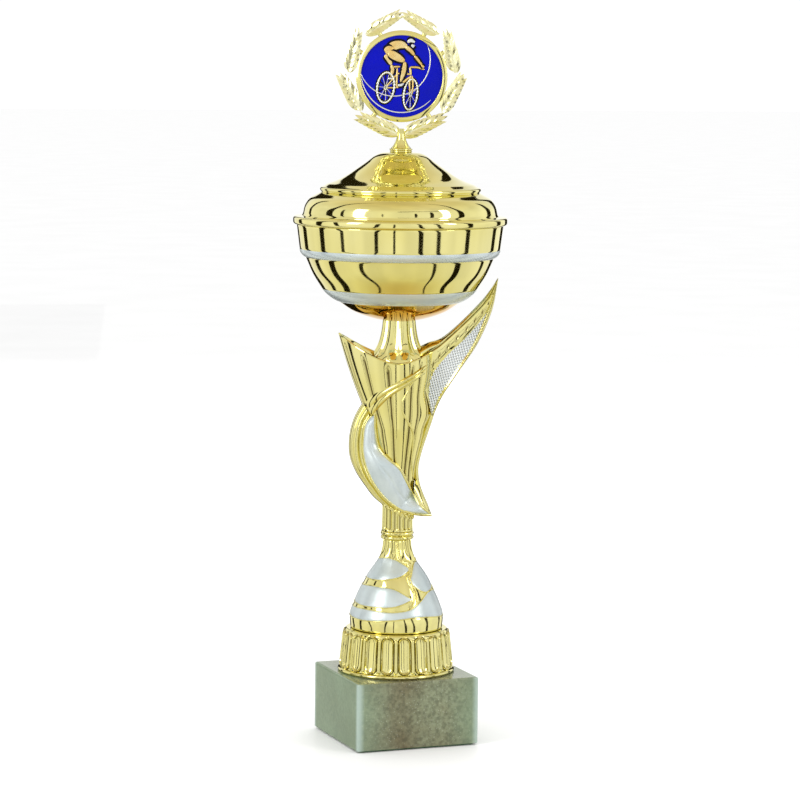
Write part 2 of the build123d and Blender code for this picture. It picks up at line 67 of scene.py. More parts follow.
print("CAD box", [round(v, 4) for v in (*cad_low, *cad_high)])

# %% [markdown]
# ## Sizes
#
# All sizes are in millimetres and become metres only when a mesh is made.  The heights of the
# stack and the main radii are read from the measured pieces, so they stay true to them.

# %% Sizes taken from the measured pieces
MM = 0.001


def reach(node):
    """Largest distance from the upright axis, lowest and highest point of a piece, in mm."""
    low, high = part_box(node)
    return high.x / MM, low.z / MM, high.z / MM


base_half, _, base_top = reach("marble_base")
_, drum_low, drum_top = reach("foot_drum")
_, bell_low, bell_top = reach("foot_bell")
collar_low, collar_top = bell_top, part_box("torch_figure")[0].z / MM
_, spool_low, spool_top = reach("neck_spool")
_, bowl_low, bowl_top = reach("bowl")
_, lid_low, lid_top = reach("lid")
_, ring_low, ring_top = reach("top_washer")
holder_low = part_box("wreath_holder")[0].z / MM
emblem_low, emblem_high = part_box("emblem_disc")
emblem_height = (emblem_low.z + emblem_high.z) / 2 / MM
lid_rim_depth = 6.0
lid_seat = lid_low + lid_rim_depth
print("stack", [round(z, 1) for z in (base_top, drum_top, bell_top, collar_top, spool_low,
                                       bowl_low, lid_seat, lid_top, emblem_height)])

# %% [markdown]
# The figure and the wreath face a little to one side of the base.  Their points are given as
# (to the right, towards the front, up) in that facing, and turned into the frame at the end.

# %% Facing of the figure
TURN = math.radians(21.0)


def to_frame(points):
    """Points (right, front, up) in mm, turned by the facing angle and scaled to metres."""
    points = np.asarray(points, float)
    x, y, z = points[..., 0], points[..., 1], points[..., 2]
    return np.stack(
        [
            x * math.cos(TURN) - y * math.sin(TURN),
            -x * math.sin(TURN) - y * math.cos(TURN),
            z,
        ],
        axis=-1,
    ) * MM


# %% [markdown]
# ## Camera
#
# The camera stands 1.8 m away at the height of the wreath and looks slightly down.  A long lens
# keeps the upright lines nearly parallel.

# %% Camera
def put_in_scene(name, data):
    """A new object with its data, linked to the scene."""
    made = bpy.data.objects.new(name, data)
    bpy.context.scene.collection.objects.link(made)
    return made


camera_away, camera_height = 1.8, 0.3994
camera_data = bpy.data.cameras.new("camera")
camera_data.lens = 139.5
camera_data.sensor_width = 36.0
camera_data.shift_x = 0.0019
camera = put_in_scene("camera", camera_data)
camera_bearing = math.radians(21.06)
camera.location = (-math.sin(camera_bearing) * camera_away,
                   -math.cos(camera_bearing) * camera_away, camera_height)
aim = Vector((0, 0, 0.1997)) - camera.location
camera.rotation_mode = "QUATERNION"
camera_roll = Quaternion((0, 0, 1), math.radians(0.57))
camera.rotation_quaternion = aim.to_track_quat("-Z", "Y") @ camera_roll
bpy.context.scene.camera = camera
print("camera looks", round(math.degrees(math.atan2(-aim.z, aim.xy.length)), 2), "degrees down")

# %% [markdown]
# ## Materials
#
# Each material mixes two close colours with slow noise and varies its roughness.  A weak, fine
# bump stands for the skin of a moulding, the grain of stone or the nap of felt.  All noise uses
# the object's own coordinates, so it sticks to the pieces.


# %% Material helpers
def new_node(tree, kind, values=None, links=None, **options):
    """A new node with its options, its socket values and the outputs that feed its sockets."""
    made = tree.nodes.new("ShaderNode" + kind)
    for option, value in options.items():
        setattr(made, option, value)
    for socket, value in (values or {}).items():
        made.inputs[socket].default_value = value
    for socket, source in (links or {}).items():
        tree.links.new(source, made.inputs[socket])
    return made


def ranged(tree, source, start, end, least, most):
    """An amount that runs from least to most while the source runs from start to end."""
    values = {"From Min": start, "From Max": end, "To Min": least, "To Max": most}
    return new_node(tree, "MapRange", values, {"Value": source}).outputs["Result"]


def tinted(tree, colour, amount, tone):
    """A colour drawn towards a tone by an amount from zero to one."""
    mix = new_node(tree, "Mix", {"B": (*tone, 1)}, {"A": colour, "Factor": amount},
                   data_type="RGBA")
    return mix.outputs["Result"]


def material(name, first, second, metallic, low, high, cloud, grain, bump):
    """Two clouded colours, a roughness that drifts from low to high, and a fine bump."""
    made = bpy.data.materials.new(name)
    made.use_nodes = True
    tree = made.node_tree
    shader = tree.nodes["Principled BSDF"]
    shader.inputs["Metallic"].default_value = metallic
    place = new_node(tree, "TexCoord").outputs["Object"]
    clouds = new_node(tree, "TexNoise", {"Scale": cloud, "Detail": 5.0}, {"Vector": place})
    ramp = new_node(tree, "ValToRGB", links={"Fac": clouds.outputs["Fac"]})
    for element, position, colour in zip(ramp.color_ramp.elements, (0.35, 0.65),
                                         (first, second)):
        element.position, element.color = position, (*colour, 1)
    fine = new_node(tree, "TexNoise", {"Scale": grain, "Detail": 4.0}, {"Vector": place})
    skin = new_node(tree, "Bump", {"Strength": bump, "Distance": 0.0004},
                    {"Height": fine.outputs["Fac"]})
    for source, socket in ((ramp.outputs["Color"], "Base Color"),
                           (ranged(tree, fine.outputs["Fac"], 0.3, 0.7, low, high), "Roughness"),
                           (skin.outputs["Normal"], "Normal")):
        tree.links.new(source, shader.inputs[socket])
    return made


def paint_shade_from_attribute(look, dark):
    """Painted shade: draws the colour towards a dark tone as far as the piece's stored value says.
    """
    tree = look.node_tree
    depth = new_node(tree, "Attribute", attribute_name="painted_shade").outputs["Fac"]
    colour = tinted(tree, tree.nodes["Color Ramp"].outputs["Color"], depth, dark)
    tree.links.new(colour, tree.nodes["Principled BSDF"].inputs["Base Color"])


# %% [markdown]
# Each call gives two colours, how metallic the skin is, its lowest and highest roughness, the
# fineness of the clouds and of the grain, and the strength of the bump.

# %% Materials
plating = ((0.83, 0.775, 0.35), (0.78, 0.71, 0.26), 1.0, 0.05, 0.10, 30, 90, 0.06)
gold = material("mirror gold", *plating)
# This gold gets painted shade in its grooves, notches and lines.
grooved_gold = material("grooved gold", *plating)
gold_sheet = material("spun gold sheet", (0.83, 0.77, 0.35), (0.79, 0.72, 0.28), 1.0,
                      0.04, 0.08, 22, 60, 0.03)
gold_lip = material("gold trim", (0.87, 0.82, 0.40), (0.79, 0.71, 0.26), 1.0, 0.08, 0.14,
                    160, 400, 0.12)
pale_gold = material("pale gold", (0.92, 0.90, 0.60), (0.84, 0.79, 0.42), 1.0, 0.10, 0.18,
                     160, 400, 0.10)
silver = material("satin silver", (0.64, 0.71, 0.72), (0.54, 0.62, 0.64), 0.7, 0.30, 0.40,
                  60, 700, 0.12)
silver_sheet = material("satin band", (0.66, 0.73, 0.75), (0.58, 0.66, 0.69), 0.7, 0.26, 0.34,
                        40, 90, 0.02)
weave_silver = material("woven silver", (0.86, 0.90, 0.92), (0.78, 0.83, 0.86), 0.7, 0.26, 0.36,
                        90, 400, 0.06)
steel = material("zinc-plated steel", (0.58, 0.59, 0.60), (0.50, 0.51, 0.53), 1.0, 0.25, 0.40,
                 90, 500, 0.20)
felt = material("green felt", (0.03, 0.12, 0.06), (0.05, 0.17, 0.09), 0.0, 0.90, 1.0,
                250, 1500, 0.9)
enamel = material("blue enamel", (0.002, 0.004, 0.44), (0.003, 0.006, 0.36), 0.0, 0.16, 0.24,
                  45, 300, 0.05)
enamel.node_tree.nodes["Principled BSDF"].inputs["Specular IOR Level"].default_value = 0.08
rider_gold = material("embossed gold", (0.92, 0.74, 0.36), (0.84, 0.56, 0.18), 1.0, 0.22, 0.34,
                      120, 600, 0.20)
rider_silver = material("embossed silver", (0.86, 0.88, 0.88), (0.74, 0.77, 0.78), 1.0,
                        0.20, 0.30, 120, 600, 0.20)
rider_dark = material("dark outline", (0.004, 0.004, 0.012), (0.010, 0.008, 0.012), 0.0,
                      0.45, 0.60, 150, 700, 0.2)
rider_dark.node_tree.nodes["Principled BSDF"].inputs["Specular IOR Level"].default_value = 0.05
cover = material("gilded cover", (0.87, 0.81, 0.40), (0.79, 0.71, 0.28), 1.0, 0.16, 0.26,
                 80, 600, 0.15)
# Painted shade: where a piece stores a painted shade value, its colour is drawn towards these
# tones.
paint_shade_from_attribute(grooved_gold, (0.09, 0.055, 0.008))
paint_shade_from_attribute(weave_silver, (0.10, 0.13, 0.17))
# On the spun sheet the stored value paints shade and a warm reflection under the bowl.
paint_shade_from_attribute(gold_sheet, (0.72, 0.40, 0.07))
print("materials", len(bpy.data.materials))

# %% [markdown]
# The marble has large clouds, thin pale veins and small light specks, under a polish.


# %% Marble
def marble_material():
    """Clouded stone: grey-green to olive brown, with veins from a folded noise, and specks.

    The distance from the middle to the left and right turns it lighter and greener, painted light
    on the side faces, and the sum of both distances, which is largest at the upright edges, paints
    a pale highlight along the rounded edges.
    """
    made = material("polished marble", (0.130, 0.115, 0.060), (0.205, 0.230, 0.140), 0.0,
                    0.12, 0.20, 30, 420, 0.10)
    tree = made.node_tree
    shader = tree.nodes["Principled BSDF"]
    shader.inputs["Specular IOR Level"].default_value = 0.5
    place = tree.nodes["Texture Coordinate"].outputs["Object"]
    veins = new_node(tree, "TexNoise", {"Scale": 26.0, "Detail": 8.0}, {"Vector": place},
                     noise_type="RIDGED_MULTIFRACTAL").outputs["Fac"]
    specks = new_node(tree, "TexVoronoi", {"Scale": 620.0}, {"Vector": place})
    grit = new_node(tree, "TexNoise", {"Scale": 520.0, "Detail": 3.0}, {"Vector": place})
    colour = tinted(tree, tree.nodes["Color Ramp"].outputs["Color"],
                    ranged(tree, veins, 0.95, 1.7, 0.0, 0.55), (0.27, 0.31, 0.24))
    colour = tinted(tree, colour, ranged(tree, specks.outputs["Distance"], 0.22, 0.05, 0.0, 0.45),
                    (0.50, 0.52, 0.42))
    shade = ranged(tree, grit.outputs["Fac"], 0.35, 0.65, 0.72, 1.22)
    grained = new_node(tree, "VectorMath", links={"Vector": colour, "Scale": shade},
                       operation="SCALE")
    split = new_node(tree, "SeparateXYZ", links={"Vector": place})
    across, along = (
        new_node(tree, "Math", links={0: split.outputs[axis]}, operation="ABSOLUTE").outputs[0]
        for axis in "XY"
    )
    both = new_node(tree, "Math", links={0: across, 1: along}).outputs[0]
    half_side = base_half * MM
    # Painted light: lighter and greener towards the left and right faces.
    colour = tinted(tree, grained.outputs["Vector"],
                    ranged(tree, across, half_side * 0.45, half_side, 0.0, 0.60),
                    (0.215, 0.315, 0.205))
    # Painted highlight: paler along the upright edges.
    edge_width, edge_end = 0.0042, 0.0012
    edges = ranged(tree, both, 2 * half_side - edge_width, 2 * half_side - edge_end, 0.0, 0.55)
    colour = tinted(tree, colour, edges, (0.50, 0.62, 0.58))
    tree.links.new(colour, shader.inputs["Base Color"])
    return made


marble = marble_material()
print("marble nodes", len(marble.node_tree.nodes))

# %% [markdown]
# ## Mesh helpers
#
# A piece is made of closed parts.  A part is an array of points and a list of face arrays, one
# for each number of corners.  The sign of a part's volume shows whether its faces look outwards,
# and they are turned round if they don't.  A fourth number beside a point's three is painted
# shade, from zero to one, set by groove depth or by height.  The materials darken with it.


# %% Closed parts and pieces
def volume(points, faces):
    """Six times the signed volume: the sum of triple products over fans of triangles."""
    total = 0.0
    for group in faces:
        corner = points[group]
        for k in range(1, group.shape[1] - 1):
            spread = np.cross(corner[:, k], corner[:, k + 1])
            total += float(np.einsum("ij,ij->i", corner[:, 0], spread).sum())
    return total


def add_piece(name, parts, look, body, stands_for=(), crease=38.0):
    """One mesh object from closed parts, with outward faces, its material and its body."""
    all_points, all_faces, painted_shade, start = [], [], [], 0
    for points, faces in parts:
        placed = to_frame(points)
        turn = -1 if volume(placed, faces) < 0 else 1
        for group in faces:
            all_faces += (group[:, ::turn] + start).tolist()
        all_points.append(placed)
        painted_shade.append(points[:, 3] if points.shape[1] > 3 else np.zeros(len(points)))
        start += len(placed)
    mesh = bpy.data.meshes.new(name)
    mesh.from_pydata(np.concatenate(all_points).tolist(), [], all_faces)
    # The fourth numbers are kept as painted shade for the material to read.
    if np.any(np.concatenate(painted_shade)):
        layer = mesh.attributes.new("painted_shade", "FLOAT", "POINT")
        layer.data.foreach_set("value", np.clip(np.concatenate(painted_shade), 0, 1))
    mesh.shade_smooth()
    mesh.set_sharp_from_angle(angle=math.radians(crease))
    mesh.materials.append(look)
    piece = put_in_scene(name, mesh)
    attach(piece, body)
    if stands_for:
        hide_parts(*stands_for)
    triangles = len(mesh.loops) - 2 * len(mesh.polygons)
    print(f"{name}: {len(mesh.vertices)} points, {triangles} triangles")
    return piece


def grid_faces(rows, columns, join_rows, join_columns):
    """Four-cornered faces of a grid of points, joined up at the ends where asked."""
    index = np.arange(rows * columns).reshape(rows, columns)
    if join_rows:
        index = np.concatenate([index, index[:1]], axis=0)
    if join_columns:
        index = np.concatenate([index, index[:, :1]], axis=1)
    corners = [index[:-1, :-1], index[1:, :-1], index[1:, 1:], index[:-1, 1:]]
    return np.stack([c.ravel() for c in corners], axis=1)


def ring_part(grid):
    """A grid that closes both ways, such as a turned shell."""
    rows, columns, numbers = grid.shape
    return grid.reshape(-1, numbers), [grid_faces(rows, columns, True, True)]


def tube_part(grid):
    """A grid of rings (stations, points round, 3 or 4), closed by a cap at each end."""
    rows, columns, numbers = grid.shape
    cap = np.arange(columns)[None]
    faces = [grid_faces(rows, columns, False, True), cap[:, ::-1], cap + (rows - 1) * columns]
    return grid.reshape(-1, numbers), faces


def plate_part(front, back, joined=False):
    """Two facing grids closed along their edges.  If joined, the rows run round in a ring."""
    rows, columns = front.shape[:2]
    across = np.concatenate([front, back[:, ::-1]], axis=1)
    if joined:
        return ring_part(across)
    faces = [grid_faces(rows, 2 * columns, False, True)]
    for row in (0, rows - 1):
        index = row * 2 * columns + np.arange(2 * columns)
        near, far = index[:columns], index[columns:][::-1]
        closing = np.stack([near[:-1], near[1:], far[1:], far[:-1]], axis=1)
        faces.append(closing if row else closing[:, ::-1])
    return across.reshape(-1, across.shape[2]), faces


# %% [markdown]
# Curves run through a few points with slopes taken from the neighbours (cubic Hermite).


# %% Curves
def through(keys, values, where):
    """Smooth values at the places 'where' of a curve that passes through values at keys."""
    keys = np.asarray(keys, float)
    values = np.asarray(values, float)
    flat = values.ndim == 1
    if flat:
        values = values[:, None]
    slope = np.gradient(values, keys, axis=0)
    where = np.asarray(where, float)
    i = np.clip(np.searchsorted(keys, where, side="right") - 1, 0, len(keys) - 2)
    step = (keys[i + 1] - keys[i])[:, None]
    u = (where - keys[i])[:, None] / step
    result = (
        (2 * u**3 - 3 * u**2 + 1) * values[i]
        + (u**3 - 2 * u**2 + u) * step * slope[i]
        + (3 * u**2 - 2 * u**3) * values[i + 1]
        + (u**3 - u**2) * step * slope[i + 1]
    )
    return result[:, 0] if flat else result


def curve(points, count):
    """Evenly spread points of a smooth curve through the given points."""
    points = np.asarray(points, float)
    keys = np.concatenate([[0], np.cumsum(np.linalg.norm(np.diff(points, axis=0), axis=1))])
    return through(keys, points, np.linspace(0, keys[-1], count))


def straight(first, last, count=2):
    """Evenly spread points of a straight line, without its last one."""
    share = np.linspace(0, 1, count, endpoint=False)[:, None]
    return np.asarray(first, float) * (1 - share) + np.asarray(last, float) * share


def unit(vectors):
    """The same directions with length one."""
    return vectors / np.linalg.norm(vectors, axis=-1, keepdims=True)


def swept(path, outward, width, height, section):
    """A closed bar along a path: a section (across, outwards) scaled at every station."""
    path = np.asarray(path, float)
    along = unit(np.gradient(path, axis=0))
    outward = np.broadcast_to(np.asarray(outward, float), path.shape)
    across = unit(np.cross(along, outward))
    outward = unit(np.cross(across, along))
    width = np.broadcast_to(width, len(path))[:, None, None]
    height = np.broadcast_to(height, len(path))[:, None, None]
    side = across[:, None, :] * section[None, :, 0, None] * width
    rise = outward[:, None, :] * section[None, :, 1, None] * height
    return tube_part(path[:, None, :] + side + rise)


def round_section(count=12):
    """A circle of radius one."""
    angle = np.arange(count) / count * 2 * math.pi
    return np.stack([np.cos(angle), np.sin(angle)], axis=1)


def ends(count, sharp=0.35):
    """Width share along a bar: one in the middle, falling round to almost nothing at both ends."""
    u = np.linspace(-1, 1, count)
    return np.maximum(1 - np.abs(u) ** (2 / sharp), 0.0) ** 0.5 * 0.985 + 0.015


# %% [markdown]
# Turned pieces revolve a closed profile.  The bearing is zero towards the front and grows to the
# right.  A piece may change its radius with bearing and height, which makes flutes and facets.


# %% Turned pieces
def turned(profile, around=360, shape=None, shade=None):
    """A closed profile of (radius, height) carried round the upright axis."""
    profile = np.asarray(profile, float)
    bearing = np.arange(around) / around * 2 * math.pi
    radius = np.repeat(profile[:, :1], around, axis=1)
    height = np.repeat(profile[:, 1:], around, axis=1)
    if shape:
        radius = shape(radius, height, bearing[None, :])
    points = [radius * np.sin(bearing), radius * np.cos(bearing), height]
    if shade:
        points.append(shade(radius, height, bearing[None, :]))
    return ring_part(np.stack(points, axis=-1))


def upright_turned(profile, centre, around=240):
    """A closed profile of (radius, frontward) carried round an axis that points to the front."""
    profile = np.asarray(profile, float)
    bearing = np.arange(around) / around * 2 * math.pi
    radius = np.repeat(profile[:, :1], around, axis=1)
    front = np.repeat(profile[:, 1:], around, axis=1)
    points = [radius * np.sin(bearing), front, centre + radius * np.cos(bearing)]
    return ring_part(np.stack(points, axis=-1))


def arc(centre, radius, start, end, count=9):
    """Points of an arc of a circle, from a start angle to an end angle in degrees."""
    angle = np.radians(np.linspace(start, end, count))
    return np.stack(
        [centre[0] + radius * np.cos(angle), centre[1] + radius * np.sin(angle)], axis=1
    )


# %% [markdown]
# ## Base
#
# The marble block, the felt and the fastenings keep their measured shapes and get materials.

# %% Materials of the kept pieces
kept_looks = {
    "felt_pad": felt,
    "marble_base": marble,
    "base_washer": steel,
    "base_nut": steel,
    "tie_rod": steel,
    "bowl_washer": steel,
    "bowl_nut": steel,
    "lid_washer": steel,
    "lid_screw": steel,
    "back_cover": cover,
}
for node_name, look in kept_looks.items():
    node_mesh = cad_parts[node_name].data
    node_mesh.materials.clear()
    node_mesh.materials.append(look)
print("kept pieces", len(kept_looks))

# %% [markdown]
# ## Drum
#
# Twenty wide flutes with round tops stand round the drum, and a narrow reed stands between each
# two.  In a cell, the distance to the flute's middle line, with a round end at the top and the
# foot, gives the height: a hollow inside, a rounded line round it, and a half-round reed beside.

# %% Fluted drum
flute_count = 20
flute_low, flute_high = drum_low + 2.6, drum_top - 1.5
drum_slope = (33.0 - 30.7) / (flute_high - flute_low)
flute_half, reed_half = 3.0, 1.1


def rounded_bar(across, height, half, low, high):
    """Distance from an upright bar's middle line, as a share of its half width."""
    top, foot = high - half, low + half
    past = np.where(height > top, height - top, np.where(height < foot, height - foot, 0.0))
    return np.hypot(across, past) / half


def flute_and_reed(radius, height, bearing):
    """Distances to a flute's and a reed's middle line, and where the wall is."""
    cell = (bearing * flute_count / (2 * math.pi)) % 1.0 - 0.5
    width = 2 * math.pi * radius / flute_count
    flute = rounded_bar(cell * width, height, flute_half, flute_low + 0.9, flute_high - 0.5)
    beside = (np.abs(cell) - 0.5) * width
    reed = rounded_bar(beside, height, reed_half, flute_low + 0.5, flute_high - 0.9)
    wall = (height >= flute_low - 0.01) & (height <= flute_high + 0.01) & (radius > 28)
    return flute, reed, wall


def fluted(radius, height, bearing):
    """Adds the flutes and the reeds to the drum's sloping wall."""
    flute, reed, wall = flute_and_reed(radius, height, bearing)
    hollow = -0.7 * np.maximum(1 - flute**2, 0)
    line = 0.95 * np.exp(-(((flute - 1.11) / 0.10) ** 2))
    bulge = 1.0 * np.sqrt(np.maximum(1 - reed**2, 0))
    gap = 0.55 * np.exp(-(((flute - 1.28) / 0.08) ** 2)) * (reed > 1)
    return radius + np.where(wall, hollow + line + bulge - gap - 0.35, 0.0)


def drum_groove_shade(radius, height, bearing):
    """Painted shade: deep in the gap round a flute, and a little along the inside of its border.
    """
    flute, reed, wall = flute_and_reed(radius, height, bearing)
    gap = 0.85 * np.exp(-(((flute - 1.27) / 0.08) ** 2))
    border = 0.45 * np.exp(-(((flute - 0.93) / 0.06) ** 2))
    return np.where(wall, gap + border, 0.0)


wall_heights = np.linspace(flute_low, flute_high, 80)
wall = np.stack([33.0 - (wall_heights - flute_low) * drum_slope, wall_heights], axis=1)
drum_profile = np.concatenate([
    [(3.3, drum_low), (33.4, drum_low)],
    arc((33.2, drum_low + 1.2), 1.1, -75, 75, 11),
    [(33.1, flute_low - 0.05)],
    wall,
    [(30.3, flute_high + 0.25)],
    arc((28.9, drum_top - 1.35), 1.3, 55, 90, 6),
    [(27.0, drum_top - 0.05), (3.3, drum_top - 0.05)],
])
add_piece("fluted_drum", [turned(drum_profile, flute_count * 44, fluted, drum_groove_shade)],
          grooved_gold, "cup",
          ["foot_drum"], crease=50)

# %% [markdown]
# ## Bell
#
# The bell is gold, with a smooth foot band and shallow flutes under the neck.  Silver fields
# wrap round it like sails.  Each field lies between two height curves over the bearing.  Raised
# gold lines frame the fields, and a wavy seam runs down the front where they meet.

# %% Bell
bell_keys = [64.9, 72.7, 80.2, 95.0, 106.9, 112.5, 118.2]
bell_radii = [26.9, 27.3, 24.9, 18.0, 10.6, 8.9, 8.4]


def bell_surface(bearing, height, proud=0.0):
    """Points of the bell at bearings (degrees) and heights, moved outwards by 'proud'."""
    height = np.asarray(height, float)
    bearing = np.radians(bearing)
    radius = through(bell_keys, bell_radii, height.ravel()).reshape(height.shape)
    radius = fluted_neck(radius, height, bearing) + proud
    return np.stack([radius * np.sin(bearing), radius * np.cos(bearing), height], axis=-1)


def fluted_neck(radius, height, bearing):
    """Twelve hollow flutes that grow from the shoulder of the bell to its neck."""
    grow = np.clip((height - 99.0) / 12.0, 0, 1) ** 1.5
    hollow = np.abs(np.cos(6 * bearing)) ** 0.8
    return radius - 0.95 * grow * hollow * (radius > 6.5)


outer_heights = np.linspace(bell_low, bell_top, 110)
outer = np.stack([through(bell_keys, bell_radii, outer_heights), outer_heights], axis=1)
bell_profile = np.concatenate([
    [(3.6, bell_low), (25.4, bell_low)],
    arc((26.2, bell_low + 1.0), 0.9, -90, -10, 6),
    outer[4:-2],
    [(8.0, bell_top), (3.6, bell_top)],
])
add_piece("bell", [turned(bell_profile, 480, fluted_neck)], gold, "cup",
          ["foot_bell"])

# %% Silver fields of the bell
# Bearings, lower heights and upper heights of the fields that end in points.
field_edges = {
    "upper": (
        [30, 10, -20, -90, -180, -270, -320, -335],
        [101.0, 98.0, 96.0, 95.0, 92.0, 90.0, 90.0, 94.5],
        [102.5, 105.5, 107.5, 106.5, 106.0, 105.5, 101.0, 95.5],
    ),
    "middle": (
        [23, 0, -35, -90, -190, -212],
        [85.0, 81.5, 80.5, 81.0, 82.0, 84.5],
        [85.5, 90.5, 92.0, 91.0, 88.0, 85.0],
    ),
}
# The lowest field runs right round the bell.
low_bearings = [-180, -90, -40, 0, 20, 35, 50, 60, 90, 120, 150, 180]
low_bottom = [73.0, 73.0, 72.5, 74.0, 75.0, 75.0, 74.5, 74.0, 73.0, 73.0, 73.0, 73.0]
low_top = [79.0, 78.5, 79.0, 78.5, 80.0, 83.5, 87.0, 88.5, 88.0, 88.0, 81.0, 79.0]


def field_part(bearings, bottom, top, joined=False, stations=330, across=22):
    """A pillowed silver field on the bell between two height curves."""
    order = np.argsort(bearings)
    keys = np.asarray(bearings, float)[order]
    where = np.linspace(keys[0], keys[-1], stations, endpoint=not joined)
    low = through(keys, np.asarray(bottom, float)[order], where)
    high = through(keys, np.asarray(top, float)[order], where)
    share = np.linspace(0, 1, across)
    height = low[:, None] * (1 - share) + high[:, None] * share
    bearing = np.repeat(where[:, None], across, axis=1)
    pillow = 0.42 * (1 - np.abs(2 * share - 1) ** 6) - 0.10
    front = bell_surface(bearing, height, np.repeat(pillow[None, :], stations, axis=0))
    back = bell_surface(bearing, height, -0.8)
    return plate_part(front, back, joined)


fields = [field_part(*field_edges[name]) for name in field_edges]
fields.append(field_part(low_bearings, low_bottom, low_top, joined=True))
add_piece("bell_silver_fields", fields, silver, "cup", ["bell_panels"])


def bell_line(bearings, heights, radius=0.36, stations=260, fade=True):
    """A raised gold line along a height curve on the bell."""
    order = np.argsort(bearings)
    keys = np.asarray(bearings, float)[order]
    where = np.linspace(keys[0], keys[-1], stations)
    path = bell_surface(where, through(keys, np.asarray(heights, float)[order], where), 0.12)
    size = radius * (ends(stations, 0.05) if fade else 1.0)
    return swept(path, unit(path * [1, 1, 0]), size, size, round_section(10))


lines = []
for edge_bearings, edge_low, edge_high in field_edges.values():
    lines.append(bell_line(edge_bearings, edge_low))
    lines.append(bell_line(edge_bearings, edge_high))
lines.append(bell_line(low_bearings, low_bottom))
lines.append(bell_line(low_bearings, low_top))
seam = [(-4, 116.5), (2, 109), (16, 105.5), (33, 102.8), (30, 99.8), (22, 97), (24, 92.4),
        (28, 88.5), (25, 83.5), (16, 80.2)]
for shift, size in ((0.0, 0.75), (5.0, 0.45)):
    seam_path = curve([(b + shift, h) for b, h in seam], 150)
    seam_points = bell_surface(seam_path[:, 0], seam_path[:, 1], 0.15)
    seam_size = size * ends(150, 0.3)
    lines.append(swept(seam_points, unit(seam_points * [1, 1, 0]), seam_size, seam_size,
                       round_section(12)))
add_piece("bell_gold_lines", lines, gold_lip, "cup")

# %% [markdown]
# ## Collar and neck
#
# Two beads sit between the bell and the stem, the upper one with soft lobes.  The neck under the
# bowl flares down to a foot ring, and fourteen hollow facets run up it.

# %% Collar and neck spool
collar_profile = np.concatenate([
    [(3.6, collar_low), (8.6, collar_low)],
    arc((8.6, collar_low + 1.15), 1.1, -80, 80, 10),
    arc((8.6, collar_low + 3.65), 1.25, -80, 80, 10),
    [(8.4, collar_top), (3.6, collar_top)],
])


def beaded(radius, height, bearing):
    """Soft lobes round the upper bead."""
    upper = (height > collar_low + 2.4) & (radius > 8.8)
    return radius - 0.22 * upper * np.abs(np.sin(9 * bearing))


add_piece("collar_beads", [turned(collar_profile, 360, beaded)], gold, "cup",
          ["stem_collar"])

facet_count = 14


def faceted(radius, height, bearing):
    """Hollow facets up the neck, fading towards its flared foot."""
    facet = np.abs(np.sin(facet_count / 2 * bearing))
    grow = np.clip((height - spool_low + 1.5) / 4.0, 0, 1)
    return radius - np.where(radius > 8, 0.065 * radius * facet**0.9 * grow, 0.0)


flare_foot = spool_low - 4.7
spool_side = curve([(17.6, flare_foot + 0.8), (16.6, spool_low - 1.6), (15.1, spool_low + 1.6),
                    (13.4, spool_low + 4.6), (12.1, spool_low + 7.6), (11.2, spool_low + 10.6),
                    (10.2, spool_low + 16.0), (9.7, spool_top - 0.05)], 70)
spool_profile = np.concatenate([
    [(3.6, flare_foot), (16.9, flare_foot)],
    arc((17.2, flare_foot + 0.4), 0.4, -80, 20, 6),
    spool_side,
    [(3.6, spool_top - 0.05)],
])
add_piece("faceted_neck", [turned(spool_profile, 420, faceted)], gold, "cup",
          ["neck_spool"])

# %% [markdown]
# ## Torch
#
# Below, the torch is round: a fluted stem, then a slender body.  Above, its ring stretches into
# a pointed oval that rises to a horn on the left and to the wing's root on the right.  The
# lip's height grows with the distance from the middle, like a saddle.  The inside runs from the
# lip up to the neck's foot.

# %% Torch body
torch_foot = 123.0
flare_low, flare_radius = 184.0, 15.8
torch_keys = [torch_foot, 142.0, 147.0, 152.0, 161.0, 168.8, 179.0, flare_low]
torch_radii = [9.2, 9.2, 9.5, 9.9, 10.7, 12.3, 14.8, flare_radius]
stem_flutes = 9
swirl_middle, swirl_slant = 135.0, 4.3
lip_low, lip_ahead, lip_curve = 222.3, 20.0, 1.64
# Left, then right: the lip's half width, its rise at the end and the power of its front curve.
lip_wide, lip_rise, lip_power = (35.2, 20.5), (15.7, 6.5), (1.6, 1.2)


def by_side(across, pair):
    """The first value of a pair on the left, the second on the right."""
    return np.where(across < 0, *pair)


def lip_points(angle, inner=0.0):
    """The lip's curve: an oval, wider on the left, whose height rises to both sides."""
    across, ahead = np.cos(angle), np.sin(angle)
    x = (by_side(across, lip_wide) - inner) * across
    y = (lip_ahead - inner) * np.abs(ahead) ** by_side(across, lip_power) * np.sign(ahead)
    z = lip_low + by_side(across, lip_rise) * np.abs(across) ** lip_curve
    return np.stack([x, y, z], axis=-1)


groove_bearings = (-66, -38, -11, 24, 40, 64)
groove_depth, groove_half, flare_groove_radius = 0.60, 0.58, 18.0


def grooves(angle, radius):
    """Narrow grooves down the torch at a few bearings, the same on the front and the back."""
    bearing = np.degrees(np.arctan2(np.cos(angle), np.abs(np.sin(angle))))
    depth = 0.0
    for place in groove_bearings:
        beside = np.radians(bearing - place) * radius
        depth = depth + groove_depth * np.exp(-((beside / groove_half) ** 2))
    return depth


